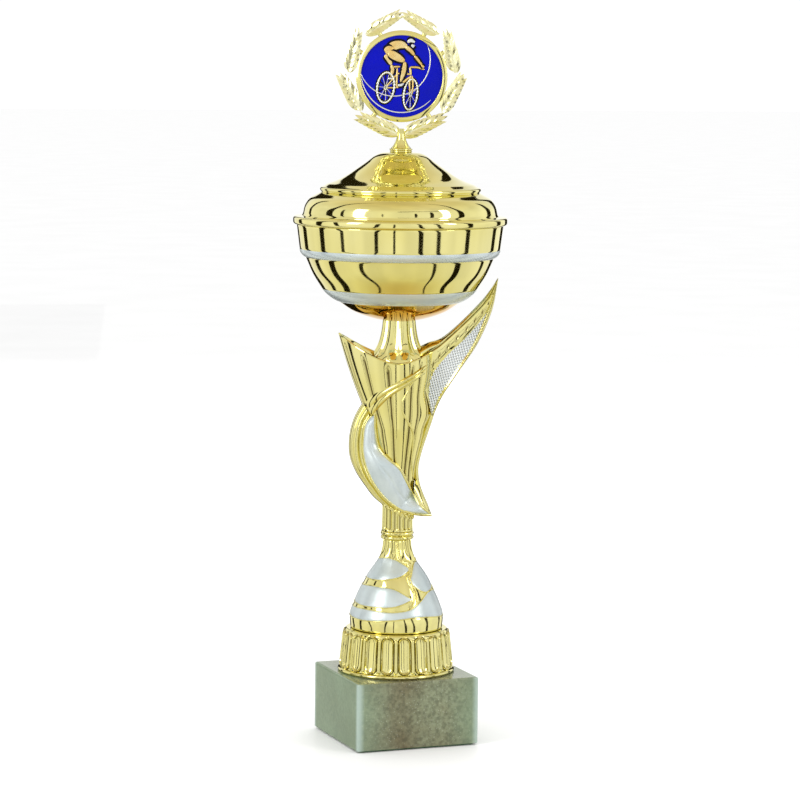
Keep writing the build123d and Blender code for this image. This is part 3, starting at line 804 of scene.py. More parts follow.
def torch_body(around=600):
    """Rings of points from the foot up to the lip, over it, and back down inside."""
    angle = np.arange(around) / around * 2 * math.pi
    circle = np.stack([np.cos(angle), np.sin(angle)], axis=-1)
    flute = np.abs(np.cos(stem_flutes * angle)) ** 0.7
    flare_grooves = grooves(angle, flare_groove_radius)
    rings, painted_shade = [], []
    heights = np.concatenate([np.linspace(torch_foot, 146, 26), np.linspace(147, flare_low, 34)])
    for height, radius in zip(heights, through(torch_keys, torch_radii, heights)):
        swirl = swirl_middle - swirl_slant * circle[:, 0]
        stem = np.clip((swirl - 0.6 - height) / 1.5, 0, 1) * np.clip((height - 123.8) / 1, 0, 1)
        body = np.clip((height - 146) / 6, 0, 1)
        depth = 0.95 * flute * stem + grooves(angle, radius) * body
        ring = circle * (radius - depth)[:, None]
        rings.append(np.concatenate([ring, np.full((around, 1), height)], axis=1))
        # Painted shade in the grooves and between the stem's flutes.
        line = (grooves(angle, radius) / groove_depth) ** 1.5
        painted_shade.append(line * body + 0.7 * flute**12 * stem)
    foot = np.concatenate([circle * flare_radius, np.full((around, 1), flare_low)], axis=1)
    lip = lip_points(angle)
    for share in np.linspace(0, 1, 46)[1:]:
        bow = 1.3 * math.sin(math.pi * share) * np.abs(circle[:, :1]) ** 2
        ring = foot * (1 - share) + lip * share
        ring[:, :2] += circle * bow
        flank = through([0, 0.2, 0.45, 0.75, 1], [0, 1.7, -1.6, -0.3, 0], [share])[0]
        ring[:, 0] += flank * np.maximum(circle[:, 0], 0) ** 3
        fade = 1 - np.clip((share - 0.86) / 0.10, 0, 1)
        ring[:, :2] *= 1 - (flare_grooves * fade / flare_groove_radius)[:, None]
        rings.append(ring)
        # Painted shade in the flare's grooves.
        painted_shade.append((flare_grooves / groove_depth) ** 1.5 * fade)
    rim = lip_points(angle)
    for out, up in ((0.3, 0.3), (0.1, 0.7), (-0.5, 0.9), (-1.1, 0.6)):
        ring = rim + np.array([0, 0, up])
        ring[:, :2] += unit(rim[:, :2] + 1e-9) * out
        rings.append(ring)
    inner = lip_points(angle, 1.7)
    seat = np.concatenate([circle * 15.6, np.full((around, 1), 217.5)], axis=1)
    for share in np.linspace(0, 1, 14):
        ring = inner * (1 - share) + seat * share
        ring[:, 2] -= 1.6 * math.sin(math.pi * share)
        rings.append(ring)
    for radius, height in ((3.7, 217.4), (3.7, torch_foot)):
        rings.append(np.concatenate([circle * radius, np.full((around, 1), height)], axis=1))
    shade = np.zeros((len(rings), around, 1))
    shade[:len(painted_shade), :, 0] = painted_shade
    return ring_part(np.concatenate([np.stack(rings), shade], axis=-1))


add_piece("torch_body", [torch_body()], grooved_gold, "cup", ["torch_figure"],
          crease=30)

# %% [markdown]
# A swirl rings the stem on a slant.  Small arches stand over the stem's flutes.

# %% Stem swirl
swirl_angle = np.linspace(0, 2 * math.pi, 361)[:-1]


def swirl_ring(lift, size, scallop):
    """A closed, slanting ring round the stem with small scallops."""
    radius = 9.25
    x, y = radius * np.cos(swirl_angle), radius * np.sin(swirl_angle)
    arches = scallop * np.abs(np.sin(stem_flutes * swirl_angle))
    z = swirl_middle + lift - swirl_slant * np.cos(swirl_angle) + arches
    path = np.stack([x, y, z], axis=1)
    out = unit(path * [1, 1, 0])
    section = round_section(10) * size
    grid = path[:, None, :] + out[:, None, :] * section[None, :, :1]
    grid = grid + np.array([0, 0, 1.0]) * section[None, :, 1:]
    return ring_part(grid)


add_piece("stem_swirl", [swirl_ring(-0.4, 0.6, 1.2), swirl_ring(2.4, 0.5, 0.0)], gold_lip,
          "cup")

# %% [markdown]
# A fin runs down the right side, from the wing's edge to the leaf's tip.  A thin ridge bends
# down the front of the torch beside it.

# %% Fin and ridge of the torch
fin_edge = curve([(21.0, 194.0), (19.4, 188.5), (16.7, 180.0), (13.3, 168.8), (11.7, 160.5),
                  (12.5, 151.0), (15.0, 144.0), (17.8, 138.0), (20.3, 131.6)], 130)
fin_run = np.linspace(0, 1, 130)
fin_wide = through([0, 0.3, 0.7, 1], [1.6, 1.5, 1.3, 0.9], fin_run)
fin = swept(np.stack([fin_edge[:, 0] - 0.9, 0 * fin_run, fin_edge[:, 1]], axis=1), (0, 1, 0),
            fin_wide, 2.6 * ends(130, 0.1), round_section(16))


def on_torch(x, z, proud, least=0.0):
    """Front depth of the torch at (right, up): a circle below, the flare's oval above.

    The flare's share of the way up depends on how far across a point is, and the other way
    round, so both are worked out in turn a few times until they agree.
    """
    radius = through(torch_keys, torch_radii, np.clip(z, torch_keys[0], flare_low))
    below = np.sqrt(np.maximum(radius**2 - x**2, 0.0))
    side, rise, power = (by_side(x, pair) for pair in (lip_wide, lip_rise, lip_power))
    share = np.clip((z - flare_low) / 40.0, 0, 1)
    for _ in range(8):
        across = np.clip(np.abs(x) / (flare_radius + (side - flare_radius) * share), 0, 1)
        lip = lip_low + rise * across**lip_curve
        share = np.clip((z - flare_low) / (lip - flare_low), 0, 1)
    ahead = np.sqrt(1 - across**2)
    above = flare_radius * ahead * (1 - share) + lip_ahead * ahead**power * share
    return np.maximum(np.where(z > flare_low, above, below) + proud, least)


ridge_line = curve([(8.6, 213.0), (5.0, 206.0), (2.2, 199.5), (2.9, 193.5), (6.0, 187.8),
                    (8.6, 182.0), (8.6, 173.4), (8.0, 163.4), (9.3, 153.0)], 130)
ridge_path = np.stack([ridge_line[:, 0],
                       on_torch(ridge_line[:, 0], ridge_line[:, 1], -0.1),
                       ridge_line[:, 1]], axis=1)
ridge_size = 0.62 * ends(130, 0.3)
torch_ridge = swept(ridge_path, (0, 1, 0), ridge_size, ridge_size, round_section(12))
add_piece("torch_fin", [fin], gold, "cup")
add_piece("torch_ridge", [torch_ridge, (torch_ridge[0] * [1, -1, 1], torch_ridge[1])], gold,
          "cup")

# %% [markdown]
# ## Sash, crescent and leaf
#
# The sash starts under the lip on the right, crosses the torch and turns into the crescent on
# the left.  The crescent's outer edge lies in the middle plane; its front and back bulge with
# three ridges.  The silver leaf fills the crescent and wraps the foot of the torch up to its
# tip.  The back is the mirror image of the front.

# %% Sash and crescent
def mirrored(parts):
    """The parts and their mirror images behind the middle plane."""
    flip = np.array([1.0, -1.0, 1.0, 1.0])
    return parts + [(points * flip[:points.shape[1]], faces) for points, faces in parts]


def banded(upper, lower, front_upper, front_lower, ridges, ridge, depth, rise=0.0):
    """A band between two edges, with parallel ridges, closed by a flat back behind it."""
    stations, across = len(upper), 12 * ridges + 1
    share = np.linspace(0, 1, across)[None, :, None]
    top = np.concatenate([upper[:, :1], front_upper[:, None], upper[:, 1:]], axis=1)
    foot = np.concatenate([lower[:, :1], front_lower[:, None], lower[:, 1:]], axis=1)
    front = top[:, None, :] * (1 - share) + foot[:, None, :] * share
    wave = np.abs(np.sin(math.pi * ridges * share[..., 0]))
    bulge = 4 * share[..., 0] * (1 - share[..., 0])
    back = front.copy()
    front[..., 1] += ridge * wave + rise * bulge
    back[..., 1] -= np.broadcast_to(np.asarray(depth)[..., None], (stations, across))
    return plate_part(front, back)


sash_upper = curve([(16.0, 221.4), (8.0, 216.8), (-1.6, 211.5), (-13.2, 205.2), (-20.6, 198.6)],
                   90)
sash_lower = curve([(15.0, 216.4), (6.0, 210.3), (-3.8, 204.2), (-11.9, 196.1), (-18.2, 188.0)],
                   90)
sash = banded(
    sash_upper, sash_lower,
    on_torch(sash_upper[:, 0], sash_upper[:, 1], 0.9, 3.0),
    on_torch(sash_lower[:, 0], sash_lower[:, 1], 0.9, 3.0),
    2, 0.75, np.full(90, 2.4), 0.3,
)
crescent_outer = curve([(-20.2, 199.3), (-24.9, 191.5), (-27.6, 184.0), (-28.9, 175.0),
                        (-28.3, 166.2), (-25.0, 157.8), (-19.5, 149.4), (-14.0, 142.4),
                        (-8.0, 137.6), (0.0, 134.0)], 120)
crescent_inner = curve([(-16.5, 190.0), (-19.4, 184.6), (-20.4, 177.5), (-20.2, 169.0),
                        (-18.2, 160.7), (-15.7, 154.9), (-11.6, 148.9), (-7.4, 143.4),
                        (-2.6, 139.2), (4.0, 135.4)], 120)


def crescent_part():
    """Rings of points: outer edge, ridged front, inner edge, ridged back."""
    share = np.linspace(0, 1, 37)
    edge = through([0, 0.3, 0.65, 1], [7.5, 7.8, 8.2, 8.8], np.linspace(0, 1, 120))
    least = np.maximum(edge, on_torch(crescent_inner[:, 0], crescent_inner[:, 1], 0.2))
    x = crescent_outer[:, :1] * (1 - share) + crescent_inner[:, :1] * share
    z = crescent_outer[:, 1:] * (1 - share) + crescent_inner[:, 1:] * share
    rounded = np.sqrt(1 - (1 - share) ** 2)
    y = least[:, None] * rounded + 1.25 * np.abs(np.sin(3 * math.pi * share)) * rounded
    front = np.stack([x, y, z], axis=-1)
    back = np.stack([x, -y, z], axis=-1)[:, ::-1]
    return tube_part(np.concatenate([front, back[:, :-1]], axis=1))


add_piece("sash", mirrored([sash]), gold, "cup", crease=30)
add_piece("crescent", [crescent_part()], gold, "cup", crease=30)

# %% Silver leaf
leaf_lower = curve([(-14.2, 193.0), (-18.6, 187.2), (-20.3, 178.0), (-19.9, 167.4),
                    (-15.7, 154.9), (-6.5, 142.6), (5.3, 134.9), (11.5, 133.6), (19.0, 133.0)],
                   150)
leaf_upper = curve([(-13.6, 192.4), (-13.0, 180.8), (-11.0, 172.4), (-6.2, 166.9), (1.2, 160.7),
                    (5.2, 153.2), (9.2, 145.0), (12.6, 139.6), (19.2, 133.4)], 150)
leaf_share = np.linspace(0, 1, 34)
along_leaf = np.linspace(0, 1, 150)
leaf_x = leaf_lower[:, :1] * (1 - leaf_share) + leaf_upper[:, :1] * leaf_share
leaf_z = leaf_lower[:, 1:] * (1 - leaf_share) + leaf_upper[:, 1:] * leaf_share
low_depth = through([0, 0.25, 0.5, 0.75, 0.88, 1], [8.6, 8.4, 8.9, 9.7, 8.4, 4.6], along_leaf)
high_depth = on_torch(leaf_upper[:, 0], leaf_upper[:, 1], 1.0)
high_depth = np.maximum(high_depth, through([0, 0.8, 0.9, 1], [4, 4, 7.6, 4.6], along_leaf))
leaf_base = low_depth[:, None] * (1 - leaf_share) + high_depth[:, None] * leaf_share
belly = 2.4 * np.sin(math.pi * along_leaf)[:, None] ** 0.6
leaf_y = leaf_base + belly * 4 * leaf_share * (1 - leaf_share)
fold = np.exp(-(((leaf_share - 0.42 - 0.12 * np.sin(3 * along_leaf[:, None])) / 0.05) ** 2))
leaf_y = leaf_y - 0.3 * fold * np.sin(math.pi * along_leaf)[:, None]
leaf_front = np.stack([leaf_x, leaf_y, leaf_z], axis=-1)
leaf_back = leaf_front - np.array([0, 2.2, 0])
add_piece("silver_leaf", mirrored([plate_part(leaf_front, leaf_back)]), silver, "cup",
          ["leaf_panels"])

# %% Gold edges of the leaf
leaf_rims = []
for border, size in ((leaf_front[:, -1], 0.75), (leaf_front[:, 0], 0.55)):
    rim_size = size * ends(150, 0.12)
    leaf_rims.append(swept(border, (0, 1, 0), rim_size, rim_size, round_section(10)))
tip_edge = curve([(10.2, 152.5), (12.4, 148.6), (14.6, 143.8), (17.3, 138.0), (20.0, 132.2)], 60)
tip_inner = curve([(9.4, 146.5), (10.6, 143.4), (12.6, 139.8), (15.6, 136.4), (19.4, 132.6)], 60)
tip_depth = through([0, 0.5, 1], [7.0, 6.6, 4.9], np.linspace(0, 1, 60))
leaf_rims.append(banded(tip_edge, tip_inner, tip_depth - 1.6, tip_depth + 0.3, 1, 0.5,
                        tip_depth * 0.9))
foot_edge = curve([(4.0, 134.6), (9.0, 133.2), (14.0, 132.4), (20.2, 131.9)], 60)
foot_inner = curve([(4.6, 136.0), (9.4, 134.6), (14.2, 133.7), (19.8, 133.0)], 60)
foot_depth = through([0, 0.5, 1], [9.6, 8.6, 4.9], np.linspace(0, 1, 60))
leaf_rims.append(banded(foot_inner, foot_edge, foot_depth + 0.2, foot_depth - 0.6, 1, 0.3,
                        foot_depth * 0.9))
add_piece("leaf_edges", mirrored(leaf_rims), gold_lip, "cup")

# %% [markdown]
# ## Wing
#
# Four curves share one running number from root to tip: the top edge, the inner and the outer
# edge of the grid, and the outer edge of the wing.  Three strips lie between them.  The first
# has a ribbon along the top and a row of short notches under it; the last has a double ridge
# with fine slanted cuts.  The depth shrinks from the root to the tip.

# %% Wing curves
wing_keys = [0, 0.15, 0.3, 0.45, 0.6, 0.8, 1]
wing_top = [(9.5, 230.0), (17.0, 233.8), (24.8, 236.6), (35.0, 245.2), (45.4, 255.8),
            (52.4, 264.3), (57.2, 272.0)]
grid_left = [(19.4, 191.6), (17.3, 203.5), (19.1, 215.8), (27.8, 227.1), (38.4, 237.1),
             (50.9, 252.2), (56.9, 270.6)]
grid_right = [(19.7, 191.5), (23.0, 200.3), (28.5, 208.8), (35.3, 219.3), (42.9, 232.2),
              (51.2, 252.0), (57.0, 270.5)]
wing_outer = [(20.6, 191.0), (25.0, 201.0), (30.3, 209.8), (37.4, 220.4), (45.2, 232.2),
              (53.9, 252.4), (57.5, 272.0)]
stations = 240
wing_run = np.linspace(0, 1, stations)
top_line = through(wing_keys, wing_top, wing_run)
left_line = through(wing_keys, grid_left, wing_run)
right_line = through(wing_keys, grid_right, wing_run)
outer_line = through(wing_keys, wing_outer, wing_run)


def depth_along_wing(run):
    """Half the wing's thickness: most at the root, least at the tip."""
    return through([0, 0.2, 0.5, 0.8, 1], [6.4, 5.2, 3.8, 2.6, 0.9], run)


wing_depth = depth_along_wing(wing_run)


def strip(first, second, across, lift, painted_lines):
    """Grid between two curves.  'lift' gives the depth, 'painted_lines' dark lines of painted
    shade.
    """
    share = np.linspace(0, 1, across)
    x = first[:, :1] * (1 - share) + second[:, :1] * share
    z = first[:, 1:] * (1 - share) + second[:, 1:] * share
    run = np.repeat(wing_run[:, None], across, axis=1)
    share = share[None, :]
    return np.stack([x, lift(run, share), z, painted_lines(run, share) + 0 * x], axis=-1)


def notches(run, share):
    """A row of short notches between the ribbon and the grid, and a line under the ribbon."""
    cell = (run * 13) % 1.0
    row = np.exp(-(((cell - 0.5) / 0.17) ** 2)) * (run > 0.22) * (run < 0.92)
    notch = row * np.exp(-(((share - 0.66 - 0.3 * (cell - 0.5)) / 0.085) ** 2))
    line = np.exp(-(((share - 0.16 - 0.16 * run) / 0.03) ** 2)) * (run < 0.95)
    return notch + 0.7 * line


def border_line(run, share):
    """Painted shade: one dark line between the two ridges of the border."""
    return 0.7 * np.exp(-(((share - 0.5) / 0.07) ** 2)) * (run < 0.95)


def unmarked(run, share):
    """No dark lines."""
    return 0.0


def ribbon_lift(run, share):
    """Round ribbon along the top edge, then a smooth slope with notches down to the grid."""
    depth = wing_depth[:, None]
    ribbon_end = 0.16 + 0.16 * run
    u = np.clip(share / ribbon_end, 0, 1)
    ribbon = depth * np.sqrt(np.maximum(1 - (1 - u) ** 2, 0)) + 0.7 * np.sin(math.pi * u) ** 2
    slope = 0.9 * np.sin(math.pi * np.clip((share - ribbon_end) / (1 - ribbon_end), 0, 1))
    return ribbon + slope - 0.6 * notches(run, share) * (u >= 1)


def border_lift(run, share):
    """Double ridge with slanted cuts, rounding off to the outer edge."""
    past = np.clip((share - 0.45) / 0.55, 0, 1)
    depth = wing_depth[:, None] * np.sqrt(np.maximum(1 - past**2, 0))
    ridge = 0.45 * np.abs(np.sin(2 * math.pi * share)) ** 0.7
    cut = 0.16 * np.abs(np.sin(60 * math.pi * run + 5 * share))
    return depth + (ridge - cut * (share < 0.9)) * (run < 0.97)


def floor_lift(run, share):
    """The sunk floor under the net."""
    return np.maximum(wing_depth[:, None] - 0.9 + 0 * share, 0.5)


# The last function given to each strip paints shade: in the notches, under the ribbon and between
# the border's ridges.
wing_front = np.concatenate([
    strip(top_line, left_line, 44, ribbon_lift, notches),
    strip(left_line, right_line, 10, floor_lift, unmarked)[:, 1:-1],
    strip(right_line, outer_line, 26, border_lift, border_line),
], axis=1)
wing_front[:, 0, 1] = 0.0
wing_front[:, -1, 1] = 0.0
wing_back = (wing_front * np.array([1, -1, 1, 1]))[:, ::-1]
wing_rings = np.concatenate([wing_front, wing_back[:, 1:-1]], axis=1)
add_piece("wing", [tube_part(wing_rings)], grooved_gold, "cup", crease=28)

# %% [markdown]
# The grid is a net of fine strands with a small hollow in every mesh.  The product of two waves
# at right angles, tilted by fifteen degrees, gives the hollows.

# %% Woven grid of the wing
weave_rows, weave_across = 330, 60
fine_run = np.linspace(0.0, 0.80, weave_rows)
weave_left = through(wing_keys, grid_left, fine_run)
weave_right = through(wing_keys, grid_right, fine_run)
weave_share = np.linspace(0, 1, weave_across)
weave_x = weave_left[:, :1] * (1 - weave_share) + weave_right[:, :1] * weave_share
weave_z = weave_left[:, 1:] * (1 - weave_share) + weave_right[:, 1:] * weave_share
tilt = math.radians(15)
pitch = 1.45
first_wave = (weave_x * math.cos(tilt) + weave_z * math.sin(tilt)) / pitch
second_wave = (weave_z * math.cos(tilt) - weave_x * math.sin(tilt)) / pitch
hollow = (np.abs(np.sin(math.pi * first_wave)) * np.abs(np.sin(math.pi * second_wave))) ** 1.2
weave_depth = depth_along_wing(fine_run)[:, None]
weave_y = weave_depth - 0.4 - 0.45 * hollow
# The fourth number paints shade in the hollow of every mesh.
weave_front = np.stack([weave_x, weave_y, weave_z, 0.8 * hollow], axis=-1)
weave_back = weave_front.copy()
weave_back[..., 1] = np.maximum(weave_depth - 1.8, 0.2)
add_piece("wing_grid", mirrored([plate_part(weave_front, weave_back)]), weave_silver, "cup",
          ["wing_panels"], crease=60)

# %% [markdown]
# ## Bowl
#
# The bowl is thin sheet: a profile outside, a rolled rim, and the same profile inside.  Its
# underside has painted shade and a warm painted reflection.  Two silver bands bulge a little
# over their stretches.

# %% Bowl
sheet = 0.8
dish = curve([(9.9, bowl_low), (17.4, bowl_low + 1.8), (27.0, bowl_low + 5.4),
              (35.4, bowl_low + 10.9)], 34)
low_band = (dish[-1], (45.1, bowl_low + 18.3))
side = curve([low_band[1], (50.3, bowl_low + 26.6), (54.8, bowl_low + 36.7)], 30)
high_band = (side[-1], (58.3, bowl_low + 41.5))
outer_bowl = np.concatenate([
    dish, straight(*low_band, 8)[1:], side, straight(*high_band, 6)[1:],
    straight(high_band[1], (60.0, bowl_top - 0.5), 14),
])
away = np.gradient(outer_bowl, axis=0)
inner_bowl = outer_bowl + unit(np.stack([-away[:, 1], away[:, 0]], axis=1)) * sheet
bowl_profile = np.concatenate([
    [(3.6, bowl_low)],
    outer_bowl,
    arc((59.6, bowl_top - 0.4), 0.4, 0, 180, 8),
    inner_bowl[::-1][1:-2],
    [(3.6, bowl_low + sheet)],
])


def painted_underside_shade(radius, height, bearing):
    """Painted shade and reflection under the bowl: full at its foot, none from the lower band up.
    """
    return np.clip((bowl_low + 13.0 - height) / 5.0, 0, 1) * (radius > 5) + 0 * bearing


add_piece("spun_bowl", [turned(bowl_profile, 420, None, painted_underside_shade)], gold_sheet, "cup",
          ["bowl"])


def band(low, high, bulge):
    """A ring that bulges outwards between two points of the bowl's profile."""
    low, high = np.asarray(low, float), np.asarray(high, float)
    run = high - low
    out = np.array([run[1], -run[0]]) / np.linalg.norm(run)
    share = np.linspace(0, 1, 21)[:, None]
    crown = low + run * share + out * bulge * (1 - np.abs(2 * share - 1) ** 2.5)
    rear = low + run * share[::-1] - out * 0.3
    return turned(np.concatenate([crown, rear]), 420)


add_piece("lower_silver_band", [band(*low_band, 0.9)], silver_sheet, "cup", ["lower_band"])
add_piece("upper_silver_band", [band(*high_band, 0.9)], silver_sheet, "cup", ["upper_band"])

# %% [markdown]
# ## Lid
#
# A flange with a rounded edge, a stepped shoulder, a bead and a cone.  The rim under the flange
# sits inside the bowl.

# %% Lid
seat = lid_seat
top = seat + 41.8
lid_outer = np.concatenate([
    arc((60.6, seat + 1.6), 1.6, -90, 0, 9),
    arc((60.6, seat + 3.1), 1.6, 0, 90, 9),
    [(58.4, seat + 4.75), (57.0, seat + 5.1), (56.75, seat + 5.8)],
    curve([(56.5, seat + 6.2), (55.2, seat + 11.2), (52.6, seat + 14.9), (49.2, seat + 16.9)], 20),
    [(47.2, seat + 17.9), (45.8, seat + 18.8)],
    arc((45.4, seat + 20.3), 1.3, -75, 75, 12),
    [(44.4, seat + 22.0)],
    curve([(42.6, seat + 23.2), (36.2, seat + 25.6), (30.3, seat + 28.8), (24.6, seat + 32.7),
           (19.1, seat + 36.6), (14.8, seat + 39.8), (11.6, seat + 41.2), (7.6, top)], 46),
])
lid_inner = [(2.4, top), (2.4, top - 0.8), (8.0, top - 0.8), (14.2, top - 2.9),
             (24.0, top - 10.0), (36.0, top - 17.2), (43.2, top - 20.4), (44.0, top - 22.4),
             (48.4, top - 25.8), (54.4, top - 31.2), (55.6, top - 37.2), (57.6, seat + 3.9),
             (57.6, lid_low), (58.4, lid_low), (58.4, seat + 0.05)]
add_piece("spun_lid", [turned(np.concatenate([lid_outer, lid_inner]), 420)], gold_sheet, "lid",
          ["lid"])
ring_profile = np.concatenate([
    [(2.4, ring_low), (5.6, ring_low)],
    arc((5.85, ring_low + 0.6), 0.6, -85, 85, 9),
    [(5.6, ring_top), (2.4, ring_top)],
])
add_piece("top_ring", [turned(ring_profile, 120)], gold, "emblem_holder", ["top_washer"])

# %% [markdown]
# ## Wreath and emblem
#
# Every spray is a fan of thin leaves along an axis, over one wide ground leaf.  A leaf is a lens
# in outline with a raised middle rib.  The leaves of a spray lie at small angles to its axis, left
# and right in turn, and overlap.  The bezel ring and the foot complete the holder.

# %% Wreath
sprays = [
    (-10.5, 30.3, 12.6, 3.4, 31.0),
    (-28.0, 14.8, 13.2, 4.4, 77.0),
    (-29.8, -9.2, 13.0, 4.4, 120.0),
    (-13.2, -28.3, 14.8, 3.7, 157.0),
]
blades_in_spray = 15
blade_run = np.linspace(0, 1, 8)
blade_share = np.linspace(-1, 1, 3)


def blade(x, z, length, width, slope, front):
    """One leaf: lens-shaped outline, raised rib, thin at the edge."""
    half = width * np.sin(math.pi * blade_run**0.8) ** 0.75 + 0.03
    along = blade_run[:, None] * length
    across = half[:, None] * blade_share[None, :]
    rib = 1 - np.abs(blade_share)[None, :]
    height = front + (0.55 * rib**1.5 + 0.25) * (half[:, None] / width)
    a = math.radians(slope)
    px = x + along * math.cos(a) - across * math.sin(a)
    pz = z + along * math.sin(a) + across * math.cos(a)
    face = np.stack([px, height, pz], axis=-1)
    rear = np.stack([px, height * 0 + front - 0.6, pz], axis=-1)
    return plate_part(face, rear)


def spray_parts(x, z, half_length, half_width, slope):
    """Leaves of one spray over one wide ground leaf, on the front and the back."""
    parts = []
    a = math.radians(slope)
    last = blades_in_spray - 1
    for k in range(last + 1):
        place = -1.0 + 1.4 * k / last
        side = 1 if k % 2 else -1
        lean = side * (22 - 8 * k / last) if k < last else 0.0
        shift = side * half_width * 0.20 * (1 - (k / last) ** 2)
        foot_x = x + half_length * place * math.cos(a) - shift * math.sin(a)
        foot_z = z + half_length * place * math.sin(a) + shift * math.cos(a)
        length = half_length * (0.70 if k < last else 0.60)
        front = 0.5 + 0.35 * (k % 3)
        parts.append(blade(foot_x, foot_z, length, half_width * 0.32, slope + lean, front))
    parts.append(blade(x - half_length * math.cos(a), z - half_length * math.sin(a),
                       half_length * 1.85, half_width * 0.80, slope, 0.1))
    stem_x = x + half_length * np.linspace(-1, 0.8, 12) * math.cos(a)
    stem_z = z + half_length * np.linspace(-1, 0.8, 12) * math.sin(a)
    stem = np.stack([stem_x, stem_x * 0, stem_z], axis=1)
    parts = mirrored(parts)
    parts.append(swept(stem, (0, 1, 0), 0.6 * ends(12), 0.7 * ends(12), round_section(8)))
    return parts


leaves = []
for across_x, up, half_length, half_width, slope in sprays:
    leaves += spray_parts(across_x, up + emblem_height, half_length, half_width, slope)
    leaves += spray_parts(-across_x, up + emblem_height, half_length, half_width, 180 - slope)
add_piece("wreath_leaves", leaves, pale_gold, "emblem_holder")

# %% Bezel, ties and foot
bezel_profile = np.concatenate([
    [(25.2, -2.4), (25.9, -2.4)],
    arc((25.9, -1.9), 0.5, -90, 0, 5),
    [(26.4, -1.0), (26.4, 1.2)],
    arc((26.0, 1.3), 0.4, 0, 70, 6),
    arc((24.1, 2.1), 0.4, 70, 170, 7),
    [(23.6, 1.6), (23.5, 0.9), (25.0, 0.9), (25.0, -0.5)],
])
holder = [upright_turned(bezel_profile, emblem_height)]
for tie in (-125.0, -30.0, 30.0, 62.0):
    for side_sign in (1, -1):
        angle = math.radians(90 + side_sign * (90 - tie))
        spoke = np.linspace(26.0, 29.4, 6)[:, None]
        path = spoke * [[math.cos(angle), 0, math.sin(angle)]] + [[0, 0, emblem_height]]
        holder.append(swept(path, (0, 1, 0), 1.3, 1.1, round_section(12)))
foot_profile = np.concatenate([
    [(1.2, holder_low), (6.3, holder_low)],
    arc((6.25, holder_low + 0.45), 0.45, -80, 80, 7),
    curve([(6.0, holder_low + 1.0), (4.6, holder_low + 2.6), (3.5, holder_low + 4.6),
           (2.6, holder_low + 7.0), (2.2, holder_low + 9.4), (2.5, holder_low + 12.4)], 26),
    [(1.2, holder_low + 12.4)],
])
holder.append(turned(foot_profile, 120))
add_piece("bezel_and_foot", holder, gold, "emblem_holder", ["wreath_holder"])

# %% [markdown]
# The emblem's front lies 1.5 mm ahead of the middle plane.  Two thin pale arcs sweep behind the
# rider.  The rider and the bicycle are low, pillowed bars over slightly wider dark ones, which
# give them their outline.

# %% Emblem
enamel_front = 1.5


def arc_band(centre, radius, start, end, thick):
    """A thin raised arc on the emblem, thicker in its middle."""
    angle = np.radians(np.linspace(start, end, 90))
    path = np.stack([centre[0] + radius * np.cos(angle), angle * 0 + enamel_front,
                     emblem_height + centre[1] + radius * np.sin(angle)], axis=1)
    return swept(path, (0, 1, 0), thick * ends(90, 0.6), 0.22, round_section(8))


face_profile = [(0.01, 0.5), (24.95, 0.5), (24.95, enamel_front - 0.05), (24.8, enamel_front),
                (0.01, enamel_front)]
emblem_face = add_piece("emblem_face", [upright_turned(face_profile, emblem_height)], enamel,
                        "emblem_holder", ["emblem_disc"])
arcs = [
    arc_band((-4.5, 9.5), 20.9, 196, 386, 0.30),
    arc_band((-0.2, 2.6), 23.4, 187, 318, 0.34),
]
emblem_arcs = add_piece("emblem_arcs", arcs, rider_silver, "emblem_holder")


def limb(points, widths, height, extra=0.0, layer=0):
    """A pillowed bar on the emblem through points (right, up), with widths along it."""
    count = 26
    line = curve(points, count)
    level = np.full(count, enamel_front + 0.2 * layer)
    path = np.stack([line[:, 0], level, line[:, 1] + emblem_height], axis=1)
    keys = np.linspace(0, 1, len(widths))
    wide = through(keys, widths, np.linspace(0, 1, count)) / 2 + extra
    return swept(path, (0, 1, 0), wide * ends(count, 0.5), height * ends(count, 0.4),
                 round_section(12))


body_bars = {
    "far_thigh": (0, [(-9.6, 12.4), (-7.4, 9.0), (-6.0, 6.4)], [4.2, 3.4, 2.8]),
    "far_calf": (0, [(-5.9, 6.6), (-5.3, 3.2), (-6.4, -0.6)], [2.7, 2.5, 1.4]),
    "trunk": (1, [(-8.4, 14.0), (-5.4, 17.0), (-1.0, 18.2), (3.2, 17.0)], [5.0, 6.0, 5.4, 4.2]),
    "seat": (2, [(-9.4, 13.2), (-7.6, 14.6), (-5.2, 14.2)], [4.6, 6.4, 5.8]),
    "near_thigh": (3, [(-7.8, 13.6), (-3.6, 11.4), (1.6, 8.6)], [5.6, 5.4, 3.8]),
    "near_calf": (2, [(1.8, 8.4), (1.3, 3.6), (-0.7, -3.6)], [3.2, 3.3, 1.5]),
    "upper_arm": (3, [(2.2, 17.0), (5.2, 14.6), (7.2, 12.0)], [3.6, 3.0, 2.3]),
    "forearm": (2, [(7.2, 12.0), (9.6, 9.0), (12.0, 5.8)], [2.4, 2.0, 1.3]),
    "hand": (3, [(11.4, 6.4), (12.8, 5.2)], [2.0, 1.8]),
}
helmet_bars = {
    "face": (2, [(5.6, 16.6), (6.8, 18.2)], [2.6, 3.0]),
    "helmet": (3, [(3.2, 19.3), (5.0, 20.6), (7.4, 19.4)], [1.8, 3.0, 1.6]),
}
shoe_bars = {
    "near_shoe": (3, [(-2.3, -5.2), (-0.4, -5.0), (1.3, -4.1)], [1.9, 2.2, 1.5]),
    "far_shoe": (0, [(-7.8, -1.4), (-5.6, -1.2)], [1.7, 1.7]),
}
